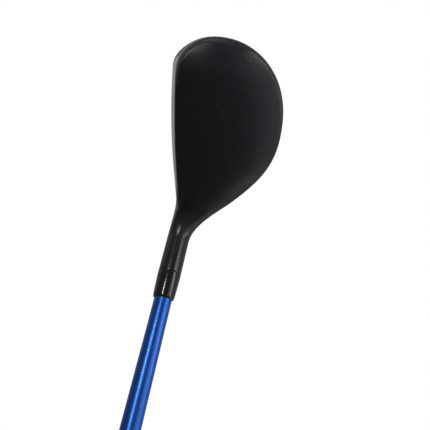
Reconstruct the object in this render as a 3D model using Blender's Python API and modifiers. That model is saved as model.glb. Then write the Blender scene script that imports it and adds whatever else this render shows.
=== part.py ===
# Hybrid golf club, soled at address: sole on the ground, shaft leaning to +X.
# -Y is the target side (face), +Y the trailing edge, -X the toe, +X the heel, +Z up.
# Sizes are in millimetres here and become metres at the vertices.

import math

import bmesh
import bpy
from mathutils import Euler, Vector

MM = 0.001

# Club
CLUB_LENGTH = 1010.0          # ground to cap along the shaft axis
LIE = math.radians(58.5)      # shaft axis to ground
LOFT = math.radians(19.0)     # face to vertical
AXIS_X = 37.0                 # where the shaft axis meets the ground
AXIS_Y = -8.0

# Head outline in plan and in height
TOE_X = -44.0                 # toe extreme
TOE_Y = 8.5
TOE_Z = 22.0
TOE_CORNER = 16.0             # length over which the face side rounds into the toe
TOE_POWER = 2.1               # fullness of that round, 2 for an ellipse
BACK_Y = 42.2                 # trailing edge, furthest point
BACK_X = -5.0
BACK_R = 45.0                 # plan radius of the trailing edge at its apex
BACK_FULL = 1.1               # how much fuller it runs half way to the heel
BACK_POWER = 2.2              # fullness of its round to the toe, 2 for an ellipse
FACE_Y = -14.5                # face at half height
FACE_MID_Z = 21.0
BULGE_R = 400.0               # face curvature heel to toe
BULGE_X = 10.0                # foremost point of the face
TOP_Z = 36.5                  # topline height
TOP_R = 300.0
LEAD_Z = 4.5                  # leading edge height
SOLE_R = 250.0                # sole camber heel to toe
SOLE_DROP = 11.8              # how far the sole curve dips under the leading edge
BACK_Z = 19.0                 # trailing edge height
BACK_RISE = 0.065             # its rise towards the heel, per mm
EDGE_R = 2.2                  # rounding of the topline, leading and trailing edges
HEEL_RISE_X = 14.0            # from here the sole lifts towards the heel
HEEL_RISE_R = 80.0

# Neck and hosel
HOSEL_D = 12.3
HOSEL_LENGTH = 63.3           # ground to hosel rim along the axis
NECK_END = 44.0               # where the neck has become round, along the axis
NECK_R = 14.0                 # hollow radius from crown to hosel
NECK_BLEND = 2.1              # how soon the heel section gives way to the round hosel
BOND = 0.12                   # glue gap round the shaft tip

# Head walls
WALL = 2.3
FRONT_WALL = 4.2
CROWN_T = 0.9
CROWN_LEDGE = 3.0
CROWN_RIM = 1.2               # body left outside the crown's edge
TOE_RIM = 0.3                 # how much narrower that rim is at the toe
SEAM = 0.3
FACE_T = 2.4
FACE_LEDGE = 2.0
FACE_RIM = 1.6                # frame left round the face insert
GROOVE_PITCH = 3.2
GROOVE_W = 0.9
GROOVE_DEPTH = 0.4
GROOVES = 7

# Sole weight
PORT_X = -4.0
PORT_Y = 23.0
PORT_BOSS = 2.2               # wall round the port
WEIGHT_D = 15.0
WEIGHT_T = 5.0
SCREW_HEAD_D = 6.8
SCREW_HEAD_T = 2.4
SCREW_D = 4.0
SCREW_REACH = 4.5             # thread below the weight
SOCKET_D = 3.0
GASKET_T = 0.8
CLIP_T = 0.6                  # ring that keeps the screw in the weight
CLIP_W = 1.0
FIT = 0.3                     # running clearance of the weight and its screw

# Damping glue
GLUE_AT = (22.0, -4.0, 4.0)
GLUE_SIZE = (13.0, 11.0, 7.0)

# Shaft, ferrule and grip
TIP_D = 9.4
TIP_PARALLEL = 60.0
BUTT_D = 15.2
SHAFT_WALL = 2.0
INSERT = 33.0                 # shaft depth in the hosel
FERRULE_LENGTH = 14.4
FERRULE_END_D = 11.4
GRIP_LENGTH = 267.0
GRIP_MOUTH_D = 18.6
GRIP_BUTT_D = 26.6
TAPE_T = 0.4
CAP_T = 3.0
VENT_D = 3.2
PLUG_STEM = 14.0
PLUG_HEAD_T = 2.0

STEPS = 32                    # facets of every turned piece on the shaft axis

for old in list(bpy.data.objects):
    bpy.data.objects.remove(old, do_unlink=True)

PARTS = bpy.data.collections.new("hybrid_club")
CUTTERS = bpy.data.collections.new("cutters")
bpy.context.scene.collection.children.link(PARTS)
bpy.context.scene.collection.children.link(CUTTERS)


def material(name, colour, metallic, roughness):
    """A plain Principled material."""
    mat = bpy.data.materials.new(name)
    mat.use_nodes = True
    shader = mat.node_tree.nodes["Principled BSDF"]
    shader.inputs["Base Color"].default_value = (*colour, 1.0)
    shader.inputs["Metallic"].default_value = metallic
    shader.inputs["Roughness"].default_value = roughness
    return mat


def add_object(name, mesh, mat=None, parent=None):
    """Links a mesh as a part, or as a hidden cutter when it has no material."""
    obj = bpy.data.objects.new(name, mesh)
    if mat is None:
        CUTTERS.objects.link(obj)
        obj.hide_render = True
        obj.display_type = "WIRE"
    else:
        PARTS.objects.link(obj)
        mesh.materials.append(mat)
        mesh.shade_smooth()
        mesh.set_sharp_from_angle(angle=math.radians(32))
    if parent is not None:
        obj.parent = parent
    return obj


def boolean(obj, cutter, operation="DIFFERENCE"):
    """Adds an exact Boolean with another object."""
    mod = obj.modifiers.new(cutter.name, "BOOLEAN")
    mod.operation = operation
    mod.solver = "EXACT"
    mod.object = cutter


def loft(name, rings, tip=None, mat=None):
    """Closed skin over rings of equal count, with an optional point at the start."""
    bm = bmesh.new()
    rows = [[bm.verts.new(Vector(p) * MM) for p in ring] for ring in rings]
    count = len(rows[0])
    for low, high in zip(rows, rows[1:]):
        for i in range(count):
            j = (i + 1) % count
            bm.faces.new((low[i], high[i], high[j], low[j]))
    if tip is None:
        bm.faces.new(rows[0])
    else:
        point = bm.verts.new(Vector(tip) * MM)
        for i in range(count):
            bm.faces.new((rows[0][i], rows[0][(i + 1) % count], point))
    bm.faces.new(list(reversed(rows[-1])))
    mesh = bpy.data.meshes.new(name)
    bm.to_mesh(mesh)
    bm.free()
    return add_object(name, mesh, mat)


def turned(name, profile, mat=None, parent=None, steps=STEPS):
    """Solid of revolution from (radius, height) points, down the outer side."""
    bm = bmesh.new()
    verts = [bm.verts.new((r * MM, 0.0, z * MM)) for r, z in profile]
    ends_on_axis = profile[0][0] == 0.0 and profile[-1][0] == 0.0
    for a, b in zip(verts, verts[1:]):
        bm.edges.new((a, b))
    if not ends_on_axis:
        bm.edges.new((verts[-1], verts[0]))
    mesh = bpy.data.meshes.new(name)
    bm.to_mesh(mesh)
    bm.free()
    obj = add_object(name, mesh, mat, parent)
    mod = obj.modifiers.new("turn", "SCREW")
    mod.steps = steps
    mod.render_steps = steps
    mod.use_merge_vertices = True
    mod.merge_threshold = 0.000001
    mod.use_smooth_shade = True
    return obj


# Head surface. A section is a closed line of (y, z) points at one x: up the face,
# back over the crown to the trailing edge, and forward under the sole.

FACE_N = 7
CROWN_N = 12
SOLE_N = 13
TAN_LOFT = math.tan(LOFT)


def toe_factor(x):
    """1 along the head, falling to 0 at the toe extreme as a quarter ellipse."""
    start = TOE_X + TOE_CORNER
    w = min(max((start - x) / TOE_CORNER, 0.0), 1.0)
    return math.sqrt(1.0 - w ** TOE_POWER)


def back_edge(x):
    """Trailing edge point (y, z)."""
    if x < BACK_X:
        w = min((BACK_X - x) / (BACK_X - TOE_X), 1.0)
        k = math.sqrt(1.0 - w ** BACK_POWER)
        return TOE_Y + (BACK_Y - TOE_Y) * k, TOE_Z + (BACK_Z - TOE_Z) * k
    d = x - BACK_X
    full = BACK_FULL * math.sin(math.pi * min(d / (HEEL_X - BACK_X), 1.0)) ** 2
    return BACK_Y - d * d / (2.0 * BACK_R) + full, BACK_Z + BACK_RISE * d


def face_point(x, z):
    """Y of the face at height z; the loft fades out round the toe."""
    k = toe_factor(x)
    middle = FACE_Y + (x - BULGE_X) ** 2 / (2.0 * BULGE_R)
    return TOE_Y - (TOE_Y - middle) * k + (z - FACE_MID_Z) * TAN_LOFT * k ** 1.6


def sole_rise(x):
    """Lift of the sole from its camber and the relief at the heel."""
    relief = max(x - HEEL_RISE_X, 0.0)
    return x * x / (2.0 * SOLE_R) + relief * relief / (2.0 * HEEL_RISE_R)


def face_heights(x):
    """Leading edge and topline heights."""
    k = toe_factor(x)
    low = TOE_Z - (TOE_Z - LEAD_Z - sole_rise(x)) * k
    high = TOE_Z + (TOP_Z - (x - BACK_X) ** 2 / (2.0 * TOP_R) - TOE_Z) * k
    return low, high


def bezier(p0, p1, p2, p3, t):
    """Point of a cubic curve."""
    s = 1.0 - t
    return p0 * s ** 3 + p1 * 3 * s * s * t + p2 * 3 * s * t * t + p3 * t ** 3


def corner(point, t1, d1, t2, d2):
    """Moves a corner inwards by one depth from each of its two lines."""
    n1 = Vector((t1.y, -t1.x)).normalized()
    n2 = Vector((t2.y, -t2.x)).normalized()
    det = n1.x * n2.y - n1.y * n2.x
    return point + Vector(((d1 * n2.y - d2 * n1.y) / det, (d2 * n1.x - d1 * n2.x) / det))


def section_curves(x, front=0.0, rest=0.0):
    """Corners of a section and its crown and sole curves, set in by the wall depths."""
    k = toe_factor(x)
    low, high = face_heights(x)
    lead = Vector((face_point(x, low), low))
    top = Vector((face_point(x, high), high))
    back = Vector(back_edge(x))
    chord = (back - top).length
    c1 = 0.33 * chord * Vector((math.cos(math.radians(7)), math.sin(math.radians(7))))
    c2 = 0.36 * chord * Vector((-math.cos(math.radians(36)), math.sin(math.radians(36))))
    width = back.x - lead.x
    floor = TOE_Z - (TOE_Z - sole_rise(x)) * k
    s1 = Vector((-0.02 * width, -0.85 * (back.y - floor)))
    s2 = Vector((0.3 * width, -SOLE_DROP * k))
    if front or rest:
        face = top - lead
        inner_lead = corner(lead, -s2, rest, face, front)
        inner_top = corner(top, face, front, c1, rest)
        inner_back = corner(back, -c2, rest, s1, rest)
        shrink = (inner_back - inner_top).length / chord
        c1, c2 = c1 * shrink, c2 * shrink
        shrink = (inner_back - inner_lead).length / (back - lead).length
        s1, s2 = s1 * shrink, s2 * shrink
        lead, top, back = inner_lead, inner_top, inner_back
    return lead, top, back, (top + c1, back + c2), (back + s1, lead + s2)


def section(x, front=0.0, rest=0.0):
    """Closed section at x, with rounded corners, never below the ground."""
    lead, top, back, (c1, c2), (s1, s2) = section_curves(x, front, rest)
    k = toe_factor(x)
    face_len = (top - lead).length
    crown_len = max((back - top).length, 0.01)
    edge = max(EDGE_R - rest, 0.4 * EDGE_R) * (0.15 + 0.85 * k)
    a = min(edge / face_len, 0.3)
    b = min(edge / crown_len, 0.2) / 1.1
    points = []
    for i in range(FACE_N):
        t = a + (1.0 - 2.0 * a) * i / (FACE_N - 1)
        points.append(lead.lerp(top, t))
    crown_ts = [b + (1.0 - 2.0 * b) * i / (CROWN_N - 1) for i in range(CROWN_N)]
    crown = [bezier(top, c1, c2, back, t) for t in crown_ts]
    points.append(points[-1] * 0.25 + top * 0.5 + crown[0] * 0.25)
    points += crown
    sole_ts = [b + (1.0 - 2.0 * b) * i / (SOLE_N - 1) for i in range(SOLE_N)]
    sole = [bezier(back, s1, s2, lead, t) for t in sole_ts]
    points.append(points[-1] * 0.25 + back * 0.5 + sole[0] * 0.25)
    points += sole
    points.append(points[-1] * 0.25 + lead * 0.5 + points[0] * 0.25)
    return [Vector((p.x, max(p.y, rest))) for p in points]


# Neck: section planes turn about a line above the heel until they face up the shaft.
S_DIR = Vector((math.cos(LIE), 0.0, math.sin(LIE)))
UP_DIR = Vector((-math.sin(LIE), 0.0, math.cos(LIE)))
HOSEL_R = HOSEL_D / 2.0
GROUND = Vector((AXIS_X, AXIS_Y, 0.0))
PIVOT = GROUND + S_DIR * NECK_END + UP_DIR * (NECK_R + HOSEL_R)
HEEL_X = PIVOT.x


def hosel_ring_angles():
    """Angles that the section points take on the round hosel, from +Y over the top."""
    top, back, lead = math.radians(128), math.radians(2), math.radians(-124)
    near, side = math.radians(8), math.radians(4)
    face_start, face_turn = 2 * math.pi + lead - near, 2 * math.pi + lead - top - 2 * near
    crown_start, crown_turn = top - near, top - back - near - side
    sole_start, sole_turn = back - side, back - lead - near
    face = [face_start - face_turn * i / (FACE_N - 1) for i in range(FACE_N)]
    crown = [crown_start - crown_turn * i / (CROWN_N - 1) for i in range(CROWN_N)]
    sole = [sole_start - sole_turn * i / (SOLE_N - 1) for i in range(SOLE_N)]
    return face + [top] + crown + [back] + sole + [lead]


RING_ANGLES = hosel_ring_angles()


def head_rings(front=0.0, rest=0.0, first=None, last=None):
    """Sections along the head, from the toe to the heel."""
    xs = [TOE_X + TOE_CORNER * (1.0 - math.sin(math.radians(a))) for a in (84, 76, 66, 54, 39, 21)]
    start = TOE_X + TOE_CORNER
    xs += [start + (HEEL_X - start) * i / 10 for i in range(11)]
    if first is not None:
        xs = [first] + [x for x in xs if x > first + 1.0]
    if last is not None:
        xs = [x for x in xs if x < last - 1.0] + [last]
    rings = []
    for x in xs:
        rings.append([(x, p.x, p.y) for p in section(x, front, rest)])
    return rings


def neck_rings():
    """From the heel section to the hosel rim."""
    heel = section(HEEL_X)
    rings = []
    for n in range(1, 8):
        v = n / 7.0
        turn = v * LIE
        m = 1.0 - (1.0 - v) ** NECK_BLEND
        down = Vector((math.sin(turn), 0.0, -math.cos(turn)))
        ring = []
        for p, angle in zip(heel, RING_ANGLES):
            y0, b0 = p.x, PIVOT.z - p.y
            y1 = AXIS_Y + HOSEL_R * math.cos(angle)
            b1 = NECK_R + HOSEL_R - HOSEL_R * math.sin(angle)
            y = y0 + (y1 - y0) * m
            b = b0 + (b1 - b0) * m
            q = Vector((PIVOT.x, y, PIVOT.z)) + down * b
            ring.append((q.x, q.y, max(q.z, 0.0)))
        rings.append(ring)
    for along, r in ((HOSEL_LENGTH - 0.4, HOSEL_R), (HOSEL_LENGTH, HOSEL_R - 0.3)):
        centre = GROUND + S_DIR * along
        ring = []
        for angle in RING_ANGLES:
            ring.append(tuple(centre + Vector((0.0, r * math.cos(angle), 0.0)) + UP_DIR * r * math.sin(angle)))
        rings.append(ring)
    return rings


def crown_height(x, y):
    """Height of the head's upper skin over a plan point."""
    line = section(x)[FACE_N - 1:FACE_N + CROWN_N + 2]
    for p, q in zip(line, line[1:]):
        if q.x < p.x:
            return p.y
        if q.x >= y:
            return p.y + (q.y - p.y) * max((y - p.x) / max(q.x - p.x, 0.001), 0.0)
    return line[-1].y


def crown_outline(shrink):
    """Plan line of the crown's edge, a narrow rim inside the head's own outline."""
    line = []
    last = HEEL_X - 2.0
    heel_front = last - 5.0
    for i in range(13):
        x = heel_front + (TOE_X + TOE_CORNER - heel_front) * i / 12.0
        line.append((x, section_curves(x)[1].x, CROWN_RIM))
    for a in (22, 40, 55, 68, 78, 86):
        x = TOE_X + TOE_CORNER * (1.0 - math.sin(math.radians(a)))
        line.append((x, section_curves(x)[1].x, CROWN_RIM - TOE_RIM * math.sin(math.radians(a))))
    for w in (0.997, 0.98, 0.945, 0.89, 0.81, 0.7, 0.55, 0.37, 0.18):
        x = BACK_X - (BACK_X - TOE_X) * w
        line.append((x, back_edge(x)[0], CROWN_RIM - TOE_RIM * w ** 3))
    for i in range(9):
        x = BACK_X + (last - BACK_X) * i / 8.0
        line.append((x, back_edge(x)[0], CROWN_RIM))
    count = len(line)
    out = []
    for i in range(count):
        x, y, d = line[i]
        if i == 0 or i == count - 1:
            side = 1.0 if i == 0 else -1.0
            out.append((x - shrink, y + side * (d + shrink)))
            continue
        t = Vector((line[i + 1][0] - line[i - 1][0], line[i + 1][1] - line[i - 1][1])).normalized()
        n = Vector((t.y, -t.x))
        out.append((x + n.x * (d + shrink), y + n.y * (d + shrink)))
    first, end = out[0], out[-1]
    for i in range(1, 5):
        u = i / 5.0
        y = end[1] + (first[1] - end[1]) * u
        x = end[0] + (first[0] - end[0]) * u + 2.6 * math.sin(math.pi * u)
        out.append((x, y))
    return out


def crown_prism(name, shrink, depth):
    """Upright cutter on the crown outline, reaching a little under the surface."""
    line = crown_outline(shrink)
    low = [(x, y, crown_height(x, y) - depth) for x, y in line]
    high = [(x, y, TOP_Z + 12.0) for x, y in line]
    bm = bmesh.new()
    a = [bm.verts.new(Vector(p) * MM) for p in low]
    b = [bm.verts.new(Vector(p) * MM) for p in high]
    centre = bm.verts.new(Vector((0.0, TOE_Y, TOE_Z + 2.0)) * MM)
    count = len(a)
    for i in range(count):
        j = (i + 1) % count
        bm.faces.new((a[i], a[j], b[j], b[i]))
        bm.faces.new((a[j], a[i], centre))
    bm.faces.new(b)
    bmesh.ops.recalc_face_normals(bm, faces=bm.faces)
    mesh = bpy.data.meshes.new(name)
    bm.to_mesh(mesh)
    bm.free()
    return add_object(name, mesh)


PLATE_TOE = TOE_X + 9.0
PLATE_HEEL = HEEL_X - 4.0


def plate_line(x, grow):
    """Lower and upper end of the face insert at x, as distances up the face."""
    low, high = face_heights(x)
    length = (high - low) / math.cos(LOFT)
    middle = (PLATE_TOE + PLATE_HEEL) / 2.0
    half = (PLATE_HEEL - PLATE_TOE) / 2.0 + grow
    u = min(abs(x - middle) / half, 0.999)
    fade = (1.0 - u ** 5) ** 0.5
    centre = length / 2.0
    reach = (length / 2.0 - FACE_RIM - EDGE_R * 0.5) * fade + grow * fade
    return low, centre - reach, centre + reach


def plate_rings(grow, front, back, grooves=False):
    """Rings of the face insert, or of its seat, from the toe to the heel."""
    middle = (PLATE_TOE + PLATE_HEEL) / 2.0
    half = (PLATE_HEEL - PLATE_TOE) / 2.0 + grow
    right = [0.25, 0.5, 0.7, 0.84, 0.92, 0.97, 0.995]
    if grooves:
        right.insert(2, 0.52)
    steps = [-s for s in reversed(right)] + [0.0] + right
    normal = Vector((0.0, -math.cos(LOFT), math.sin(LOFT)))
    along = Vector((0.0, math.sin(LOFT), math.cos(LOFT)))
    rings = []
    for s in steps:
        x = middle + s * half
        low, start, end = plate_line(x, grow)
        base = Vector((x, face_point(x, low), low))
        marks = [(start, 0.0)]
        if grooves:
            centre = (start + end) / 2.0
            room = (end - start) / 2.0 / (GROOVES * GROOVE_PITCH / 2.0 + GROOVE_W)
            pitch = GROOVE_PITCH * min(1.0, room)
            width = GROOVE_W * min(1.0, room)
            depth = GROOVE_DEPTH if abs(s) <= 0.5 else 0.0
            for g in range(GROOVES):
                at = centre + (g - (GROOVES - 1) / 2.0) * pitch
                marks += [(at - width / 2.0, 0.0), (at, depth), (at + width / 2.0, 0.0)]
        marks.append((end, 0.0))
        ring = [base + along * m + normal * (front - d) for m, d in marks]
        ring.append(base + along * end - normal * back)
        ring.append(base + along * start - normal * back)
        rings.append([tuple(p) for p in ring])
    return rings


# Materials
STEEL_BLACK = material("black_body", (0.012, 0.012, 0.013), 0.3, 0.42)
CROWN_BLACK = material("matte_crown", (0.009, 0.009, 0.011), 0.0, 0.5)
FACE_STEEL = material("satin_steel", (0.42, 0.41, 0.39), 1.0, 0.38)
TUNGSTEN = material("grey_weight", (0.25, 0.25, 0.26), 1.0, 0.35)
SCREW_STEEL = material("dark_screw", (0.12, 0.12, 0.13), 1.0, 0.35)
CLIP_STEEL = material("clip_steel", (0.5, 0.5, 0.5), 1.0, 0.3)
GASKET_RUBBER = material("gasket_rubber", (0.02, 0.02, 0.02), 0.0, 0.8)
GLUE = material("amber_glue", (0.55, 0.38, 0.14), 0.0, 0.5)
BRASS = material("brass", (0.62, 0.43, 0.16), 1.0, 0.3)
FERRULE_BLACK = material("gloss_ferrule", (0.01, 0.01, 0.011), 0.0, 0.12)
SHAFT_BLUE = material("metallic_blue", (0.02, 0.09, 0.42), 0.8, 0.28)
TAPE_TAN = material("tape_tan", (0.62, 0.5, 0.32), 0.0, 0.8)
GRIP_RUBBER = material("grip_rubber", (0.015, 0.015, 0.016), 0.0, 0.75)
CAP_RUBBER = material("cap_rubber", (0.02, 0.02, 0.021), 0.0, 0.65)

# Head
tip = (TOE_X, TOE_Y, TOE_Z)
outer = head_rings() + neck_rings()
body = loft("head_body", outer, tip, STEEL_BLACK)
crown = loft("crown", outer, tip, CROWN_BLACK)

cavity = loft("cavity", head_rings(FRONT_WALL, WALL, TOE_X + WALL + 1.4, HEEL_X - 6.0))
under_crown = loft("under_crown", head_rings(CROWN_T, CROWN_T, TOE_X + 1.6, HEEL_X))
under_seat = loft("under_seat", head_rings(CROWN_T + SEAM, CROWN_T + SEAM, TOE_X + 1.6, HEEL_X))

crown_keep = crown_prism("crown_keep", 0.0, 1.7)
boolean(crown, crown_keep, "INTERSECT")
boolean(crown, under_crown)

crown_seat = crown_prism("crown_seat", -SEAM, 1.9)
boolean(crown_seat, under_seat)
crown_window = crown_prism("crown_window", CROWN_LEDGE, 5.0)

face_plate = loft("face_plate", plate_rings(0.0, 0.0, FACE_T, True), None, FACE_STEEL)
face_seat = loft("face_seat", plate_rings(SEAM, 2.0, FACE_T + SEAM))
face_window = loft("face_window", plate_rings(-FACE_LEDGE, 1.0, FRONT_WALL + 3.0))

# Weight port: its axis is square to the sole where the port lies.
PORT_PROFILE = section_curves(PORT_X)


def sole_at(y):
    """Point and slope of the sole under a plan line."""
    lead, _, back, _, (s1, s2) = PORT_PROFILE
    lo, hi = 0.0, 1.0
    for _ in range(40):
        t = (lo + hi) / 2.0
        if bezier(back, s1, s2, lead, t).x > y:
            lo = t
        else:
            hi = t
    p = bezier(back, s1, s2, lead, lo)
    q = bezier(back, s1, s2, lead, lo - 0.02)
    return p, math.atan2(q.y - p.y, q.x - p.x)


port_point, port_tilt = sole_at(PORT_Y)
port = bpy.data.objects.new("port_axis", None)
PARTS.objects.link(port)
port.location = Vector((PORT_X, port_point.x, port_point.y)) * MM
port.rotation_euler = Euler((math.pi + port_tilt, 0.0, 0.0))

WEIGHT_R = WEIGHT_D / 2.0
PORT_R = WEIGHT_R + FIT
SCREW_R = SCREW_D / 2.0
HEAD_R = SCREW_HEAD_D / 2.0
WEIGHT_TOP = -1.2             # weight face, below the sole surface
WEIGHT_LOW = WEIGHT_TOP - WEIGHT_T
PORT_FLOOR = WEIGHT_LOW - GASKET_T - 2 * FIT
HOLE_END = PORT_FLOOR - SCREW_REACH - FIT
BOSS_END = HOLE_END - PORT_BOSS

BOSS_R = PORT_R + PORT_BOSS
BOSS_TOP = -2.0               # under the curved sole all round
boss = turned("port_boss", [(0.0, BOSS_TOP), (BOSS_R, BOSS_TOP), (BOSS_R, PORT_FLOOR - 1.0),
                            (SCREW_R + 3.0, BOSS_END), (0.0, BOSS_END)], None, port, 24)
port_hole = turned("port_hole", [(0.0, 6.0), (PORT_R, 6.0), (PORT_R, PORT_FLOOR),
                                 (SCREW_R + FIT, PORT_FLOOR), (SCREW_R + FIT, HOLE_END),
                                 (0.0, HOLE_END)], None, port, 24)

# Shaft axis: local z runs up the shaft from the ground.
axis = bpy.data.objects.new("shaft_axis", None)
PARTS.objects.link(axis)
axis.location = GROUND * MM
axis.rotation_euler = Euler((0.0, math.pi / 2.0 - LIE, 0.0))

TIP_R = TIP_D / 2.0
TIP_Z = HOSEL_LENGTH - INSERT
BORE_FLOOR = TIP_Z - PLUG_HEAD_T - 2 * SEAM
BUTT_Z = CLUB_LENGTH - CAP_T - SEAM
hosel_bore = turned("hosel_bore", [(0.0, HOSEL_LENGTH + 5.0), (TIP_R + BOND, HOSEL_LENGTH + 5.0),
                                   (TIP_R + BOND, BORE_FLOOR), (0.0, BORE_FLOOR)], None, axis)

boolean(body, cavity)
boolean(body, boss, "UNION")
boolean(body, crown_seat)
boolean(body, crown_window)
boolean(body, face_seat)
boolean(body, face_window)
boolean(body, port_hole)
boolean(body, hosel_bore)

SINK = WEIGHT_TOP - SCREW_HEAD_T - 2 * FIT
weight = turned("sole_weight", [(WEIGHT_R - 0.5, WEIGHT_TOP), (WEIGHT_R, WEIGHT_TOP - 0.5),
                                (WEIGHT_R, WEIGHT_LOW), (SCREW_R + FIT, WEIGHT_LOW),
                                (SCREW_R + FIT, SINK), (HEAD_R + FIT, SINK),
                                (HEAD_R + FIT, WEIGHT_TOP)], TUNGSTEN, port, 24)
SCREW_TOP = WEIGHT_TOP - FIT
SCREW_END = PORT_FLOOR - SCREW_REACH
screw = turned("weight_screw", [(0.0, SCREW_TOP), (HEAD_R, SCREW_TOP), (HEAD_R, SCREW_TOP - SCREW_HEAD_T),
                                (SCREW_R, SCREW_TOP - SCREW_HEAD_T), (SCREW_R, SCREW_END + 0.6),
                                (SCREW_R - 0.6, SCREW_END), (0.0, SCREW_END)], SCREW_STEEL, port, 24)
socket = turned("screw_socket", [(0.0, SCREW_TOP + 2.0), (SOCKET_D / 2.0, SCREW_TOP + 2.0),
                                 (SOCKET_D / 2.0, SCREW_TOP - 1.6), (0.0, SCREW_TOP - 1.6)], None, port, 6)
boolean(screw, socket)
gasket = turned("weight_gasket", [(WEIGHT_R - 0.4, PORT_FLOOR + FIT + GASKET_T),
                                  (WEIGHT_R - 0.4, PORT_FLOOR + FIT),
                                  (SCREW_R + 1.6, PORT_FLOOR + FIT),
                                  (SCREW_R + 1.6, PORT_FLOOR + FIT + GASKET_T)], GASKET_RUBBER, port, 24)

CLIP_R = SCREW_R + FIT / 3
CLIP_Z = WEIGHT_LOW - FIT
clip = turned("screw_clip", [(CLIP_R + CLIP_W, CLIP_Z), (CLIP_R + CLIP_W, CLIP_Z - CLIP_T),
                             (CLIP_R, CLIP_Z - CLIP_T), (CLIP_R, CLIP_Z)], CLIP_STEEL, port, 24)

# Damping glue in the heel-front corner, against the inner wall.
glue_space = head_rings(FRONT_WALL + SEAM, WALL + SEAM, TOE_X + WALL + 2.0, HEEL_X - 6.5)
glue = loft("hot_melt", glue_space, None, GLUE)
bpy.ops.mesh.primitive_uv_sphere_add(segments=16, ring_count=10, radius=1.0)
blob = bpy.context.object
blob.name = "glue_blob"
blob.scale = Vector(GLUE_SIZE) * MM
blob.location = Vector(GLUE_AT) * MM
for owner in list(blob.users_collection):
    owner.objects.unlink(blob)
CUTTERS.objects.link(blob)
blob.hide_render = True
blob.display_type = "WIRE"
boolean(glue, blob, "INTERSECT")

# Pieces on the shaft axis
BUTT_R = BUTT_D / 2.0
PARALLEL_Z = TIP_Z + TIP_PARALLEL


def shaft_radius(z):
    """Outer radius of the shaft at a height on its axis."""
    if z <= PARALLEL_Z:
        return TIP_R
    return TIP_R + (BUTT_R - TIP_R) * (z - PARALLEL_Z) / (BUTT_Z - PARALLEL_Z)


GRIP_Z = CLUB_LENGTH - GRIP_LENGTH
BORE_TIP_R = TIP_R - SHAFT_WALL
shaft = turned("shaft", [(BUTT_R, BUTT_Z), (shaft_radius(GRIP_Z), GRIP_Z), (TIP_R, PARALLEL_Z),
                         (TIP_R, TIP_Z), (BORE_TIP_R, TIP_Z), (BORE_TIP_R, PARALLEL_Z),
                         (shaft_radius(GRIP_Z) - SHAFT_WALL * 0.7, GRIP_Z),
                         (BUTT_R - SHAFT_WALL * 0.6, BUTT_Z)], SHAFT_BLUE, axis)

PLUG_R = BORE_TIP_R - BOND
plug = turned("tip_weight", [(0.0, TIP_Z + PLUG_STEM), (PLUG_R - 0.4, TIP_Z + PLUG_STEM),
                             (PLUG_R, TIP_Z + PLUG_STEM - 0.8), (PLUG_R, TIP_Z - SEAM),
                             (TIP_R - 0.2, TIP_Z - SEAM), (TIP_R - 0.2, TIP_Z - SEAM - PLUG_HEAD_T),
                             (0.0, TIP_Z - SEAM - PLUG_HEAD_T)], BRASS, axis)

FERRULE_Z = HOSEL_LENGTH + SEAM * 0.5
FERRULE_TOP = HOSEL_LENGTH + FERRULE_LENGTH
FERRULE_R = HOSEL_R + 0.05
END_R = FERRULE_END_D / 2.0
ferrule_profile = []
ROUND_W = END_R - TIP_R - BOND - 0.15   # rounding of the end, leaving a thin flat rim
ROUND_H = 1.6
ROUND_Z = FERRULE_TOP - ROUND_H
for step in range(6):
    a = math.radians(90.0 * step / 5.0)
    ferrule_profile.append((END_R - ROUND_W + ROUND_W * math.sin(a), ROUND_Z + ROUND_H * math.cos(a)))
for step in range(1, 6):
    u = step / 5.0
    swell = 1.0 - (1.0 - u) ** 1.5
    ferrule_profile.append((END_R + (FERRULE_R - END_R) * swell, ROUND_Z + (FERRULE_Z - ROUND_Z) * u))
ferrule_profile += [(TIP_R + BOND, FERRULE_Z), (TIP_R + BOND, FERRULE_TOP)]
ferrule = turned("ferrule", ferrule_profile, FERRULE_BLACK, axis)

TAPE_GAP = 0.1
TAPE_Z = GRIP_Z + 8.0
TAPE_END = BUTT_Z - 2.0


def tape_radius(z, layers):
    """Inner or outer radius of the tape layer."""
    return shaft_radius(z) + TAPE_GAP + layers * TAPE_T


tape_profile = [(tape_radius(TAPE_END, 1), TAPE_END), (tape_radius(TAPE_Z, 1), TAPE_Z),
                (tape_radius(TAPE_Z, 0), TAPE_Z), (tape_radius(TAPE_END, 0), TAPE_END)]
tape = turned("grip_tape", tape_profile, TAPE_TAN, axis)

CAP_Z = CLUB_LENGTH - CAP_T
GRIP_END = CAP_Z - SEAM * 0.5
MOUTH_R = GRIP_MOUTH_D / 2.0
GRIP_R = GRIP_BUTT_D / 2.0


def grip_radius(u):
    """Outer radius along the grip, from the mouth (0) to the butt (1)."""
    return MOUTH_R + (GRIP_R - MOUTH_R) * (0.82 * u + 0.18 * u ** 6)


grip_profile = []
for step in range(11):
    u = 1.0 - step / 10.0
    grip_profile.append((grip_radius(u), GRIP_Z + 6.0 + (GRIP_END - GRIP_Z - 6.0) * u))
grip_profile += [(MOUTH_R + 0.5, GRIP_Z + 5.0), (MOUTH_R + 0.5, GRIP_Z + 1.0), (MOUTH_R - 0.2, GRIP_Z),
                 (shaft_radius(GRIP_Z) + 0.25, GRIP_Z),
                 (shaft_radius(TAPE_Z) + 0.25, TAPE_Z - SEAM),
                 (tape_radius(TAPE_Z, 1) + TAPE_GAP, TAPE_Z - SEAM),
                 (tape_radius(GRIP_END, 1) + TAPE_GAP, GRIP_END)]
grip = turned("grip", grip_profile, GRIP_RUBBER, axis)

VENT_R = VENT_D / 2.0
cap_profile = [(VENT_R, CLUB_LENGTH), (GRIP_R - 2.2, CLUB_LENGTH), (GRIP_R - 0.7, CLUB_LENGTH - 0.6),
               (GRIP_R, CLUB_LENGTH - 1.9), (GRIP_R, CAP_Z + SEAM * 0.5), (VENT_R, CAP_Z + SEAM * 0.5)]
grip_cap = turned("grip_cap", cap_profile, CAP_RUBBER, axis)

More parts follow.
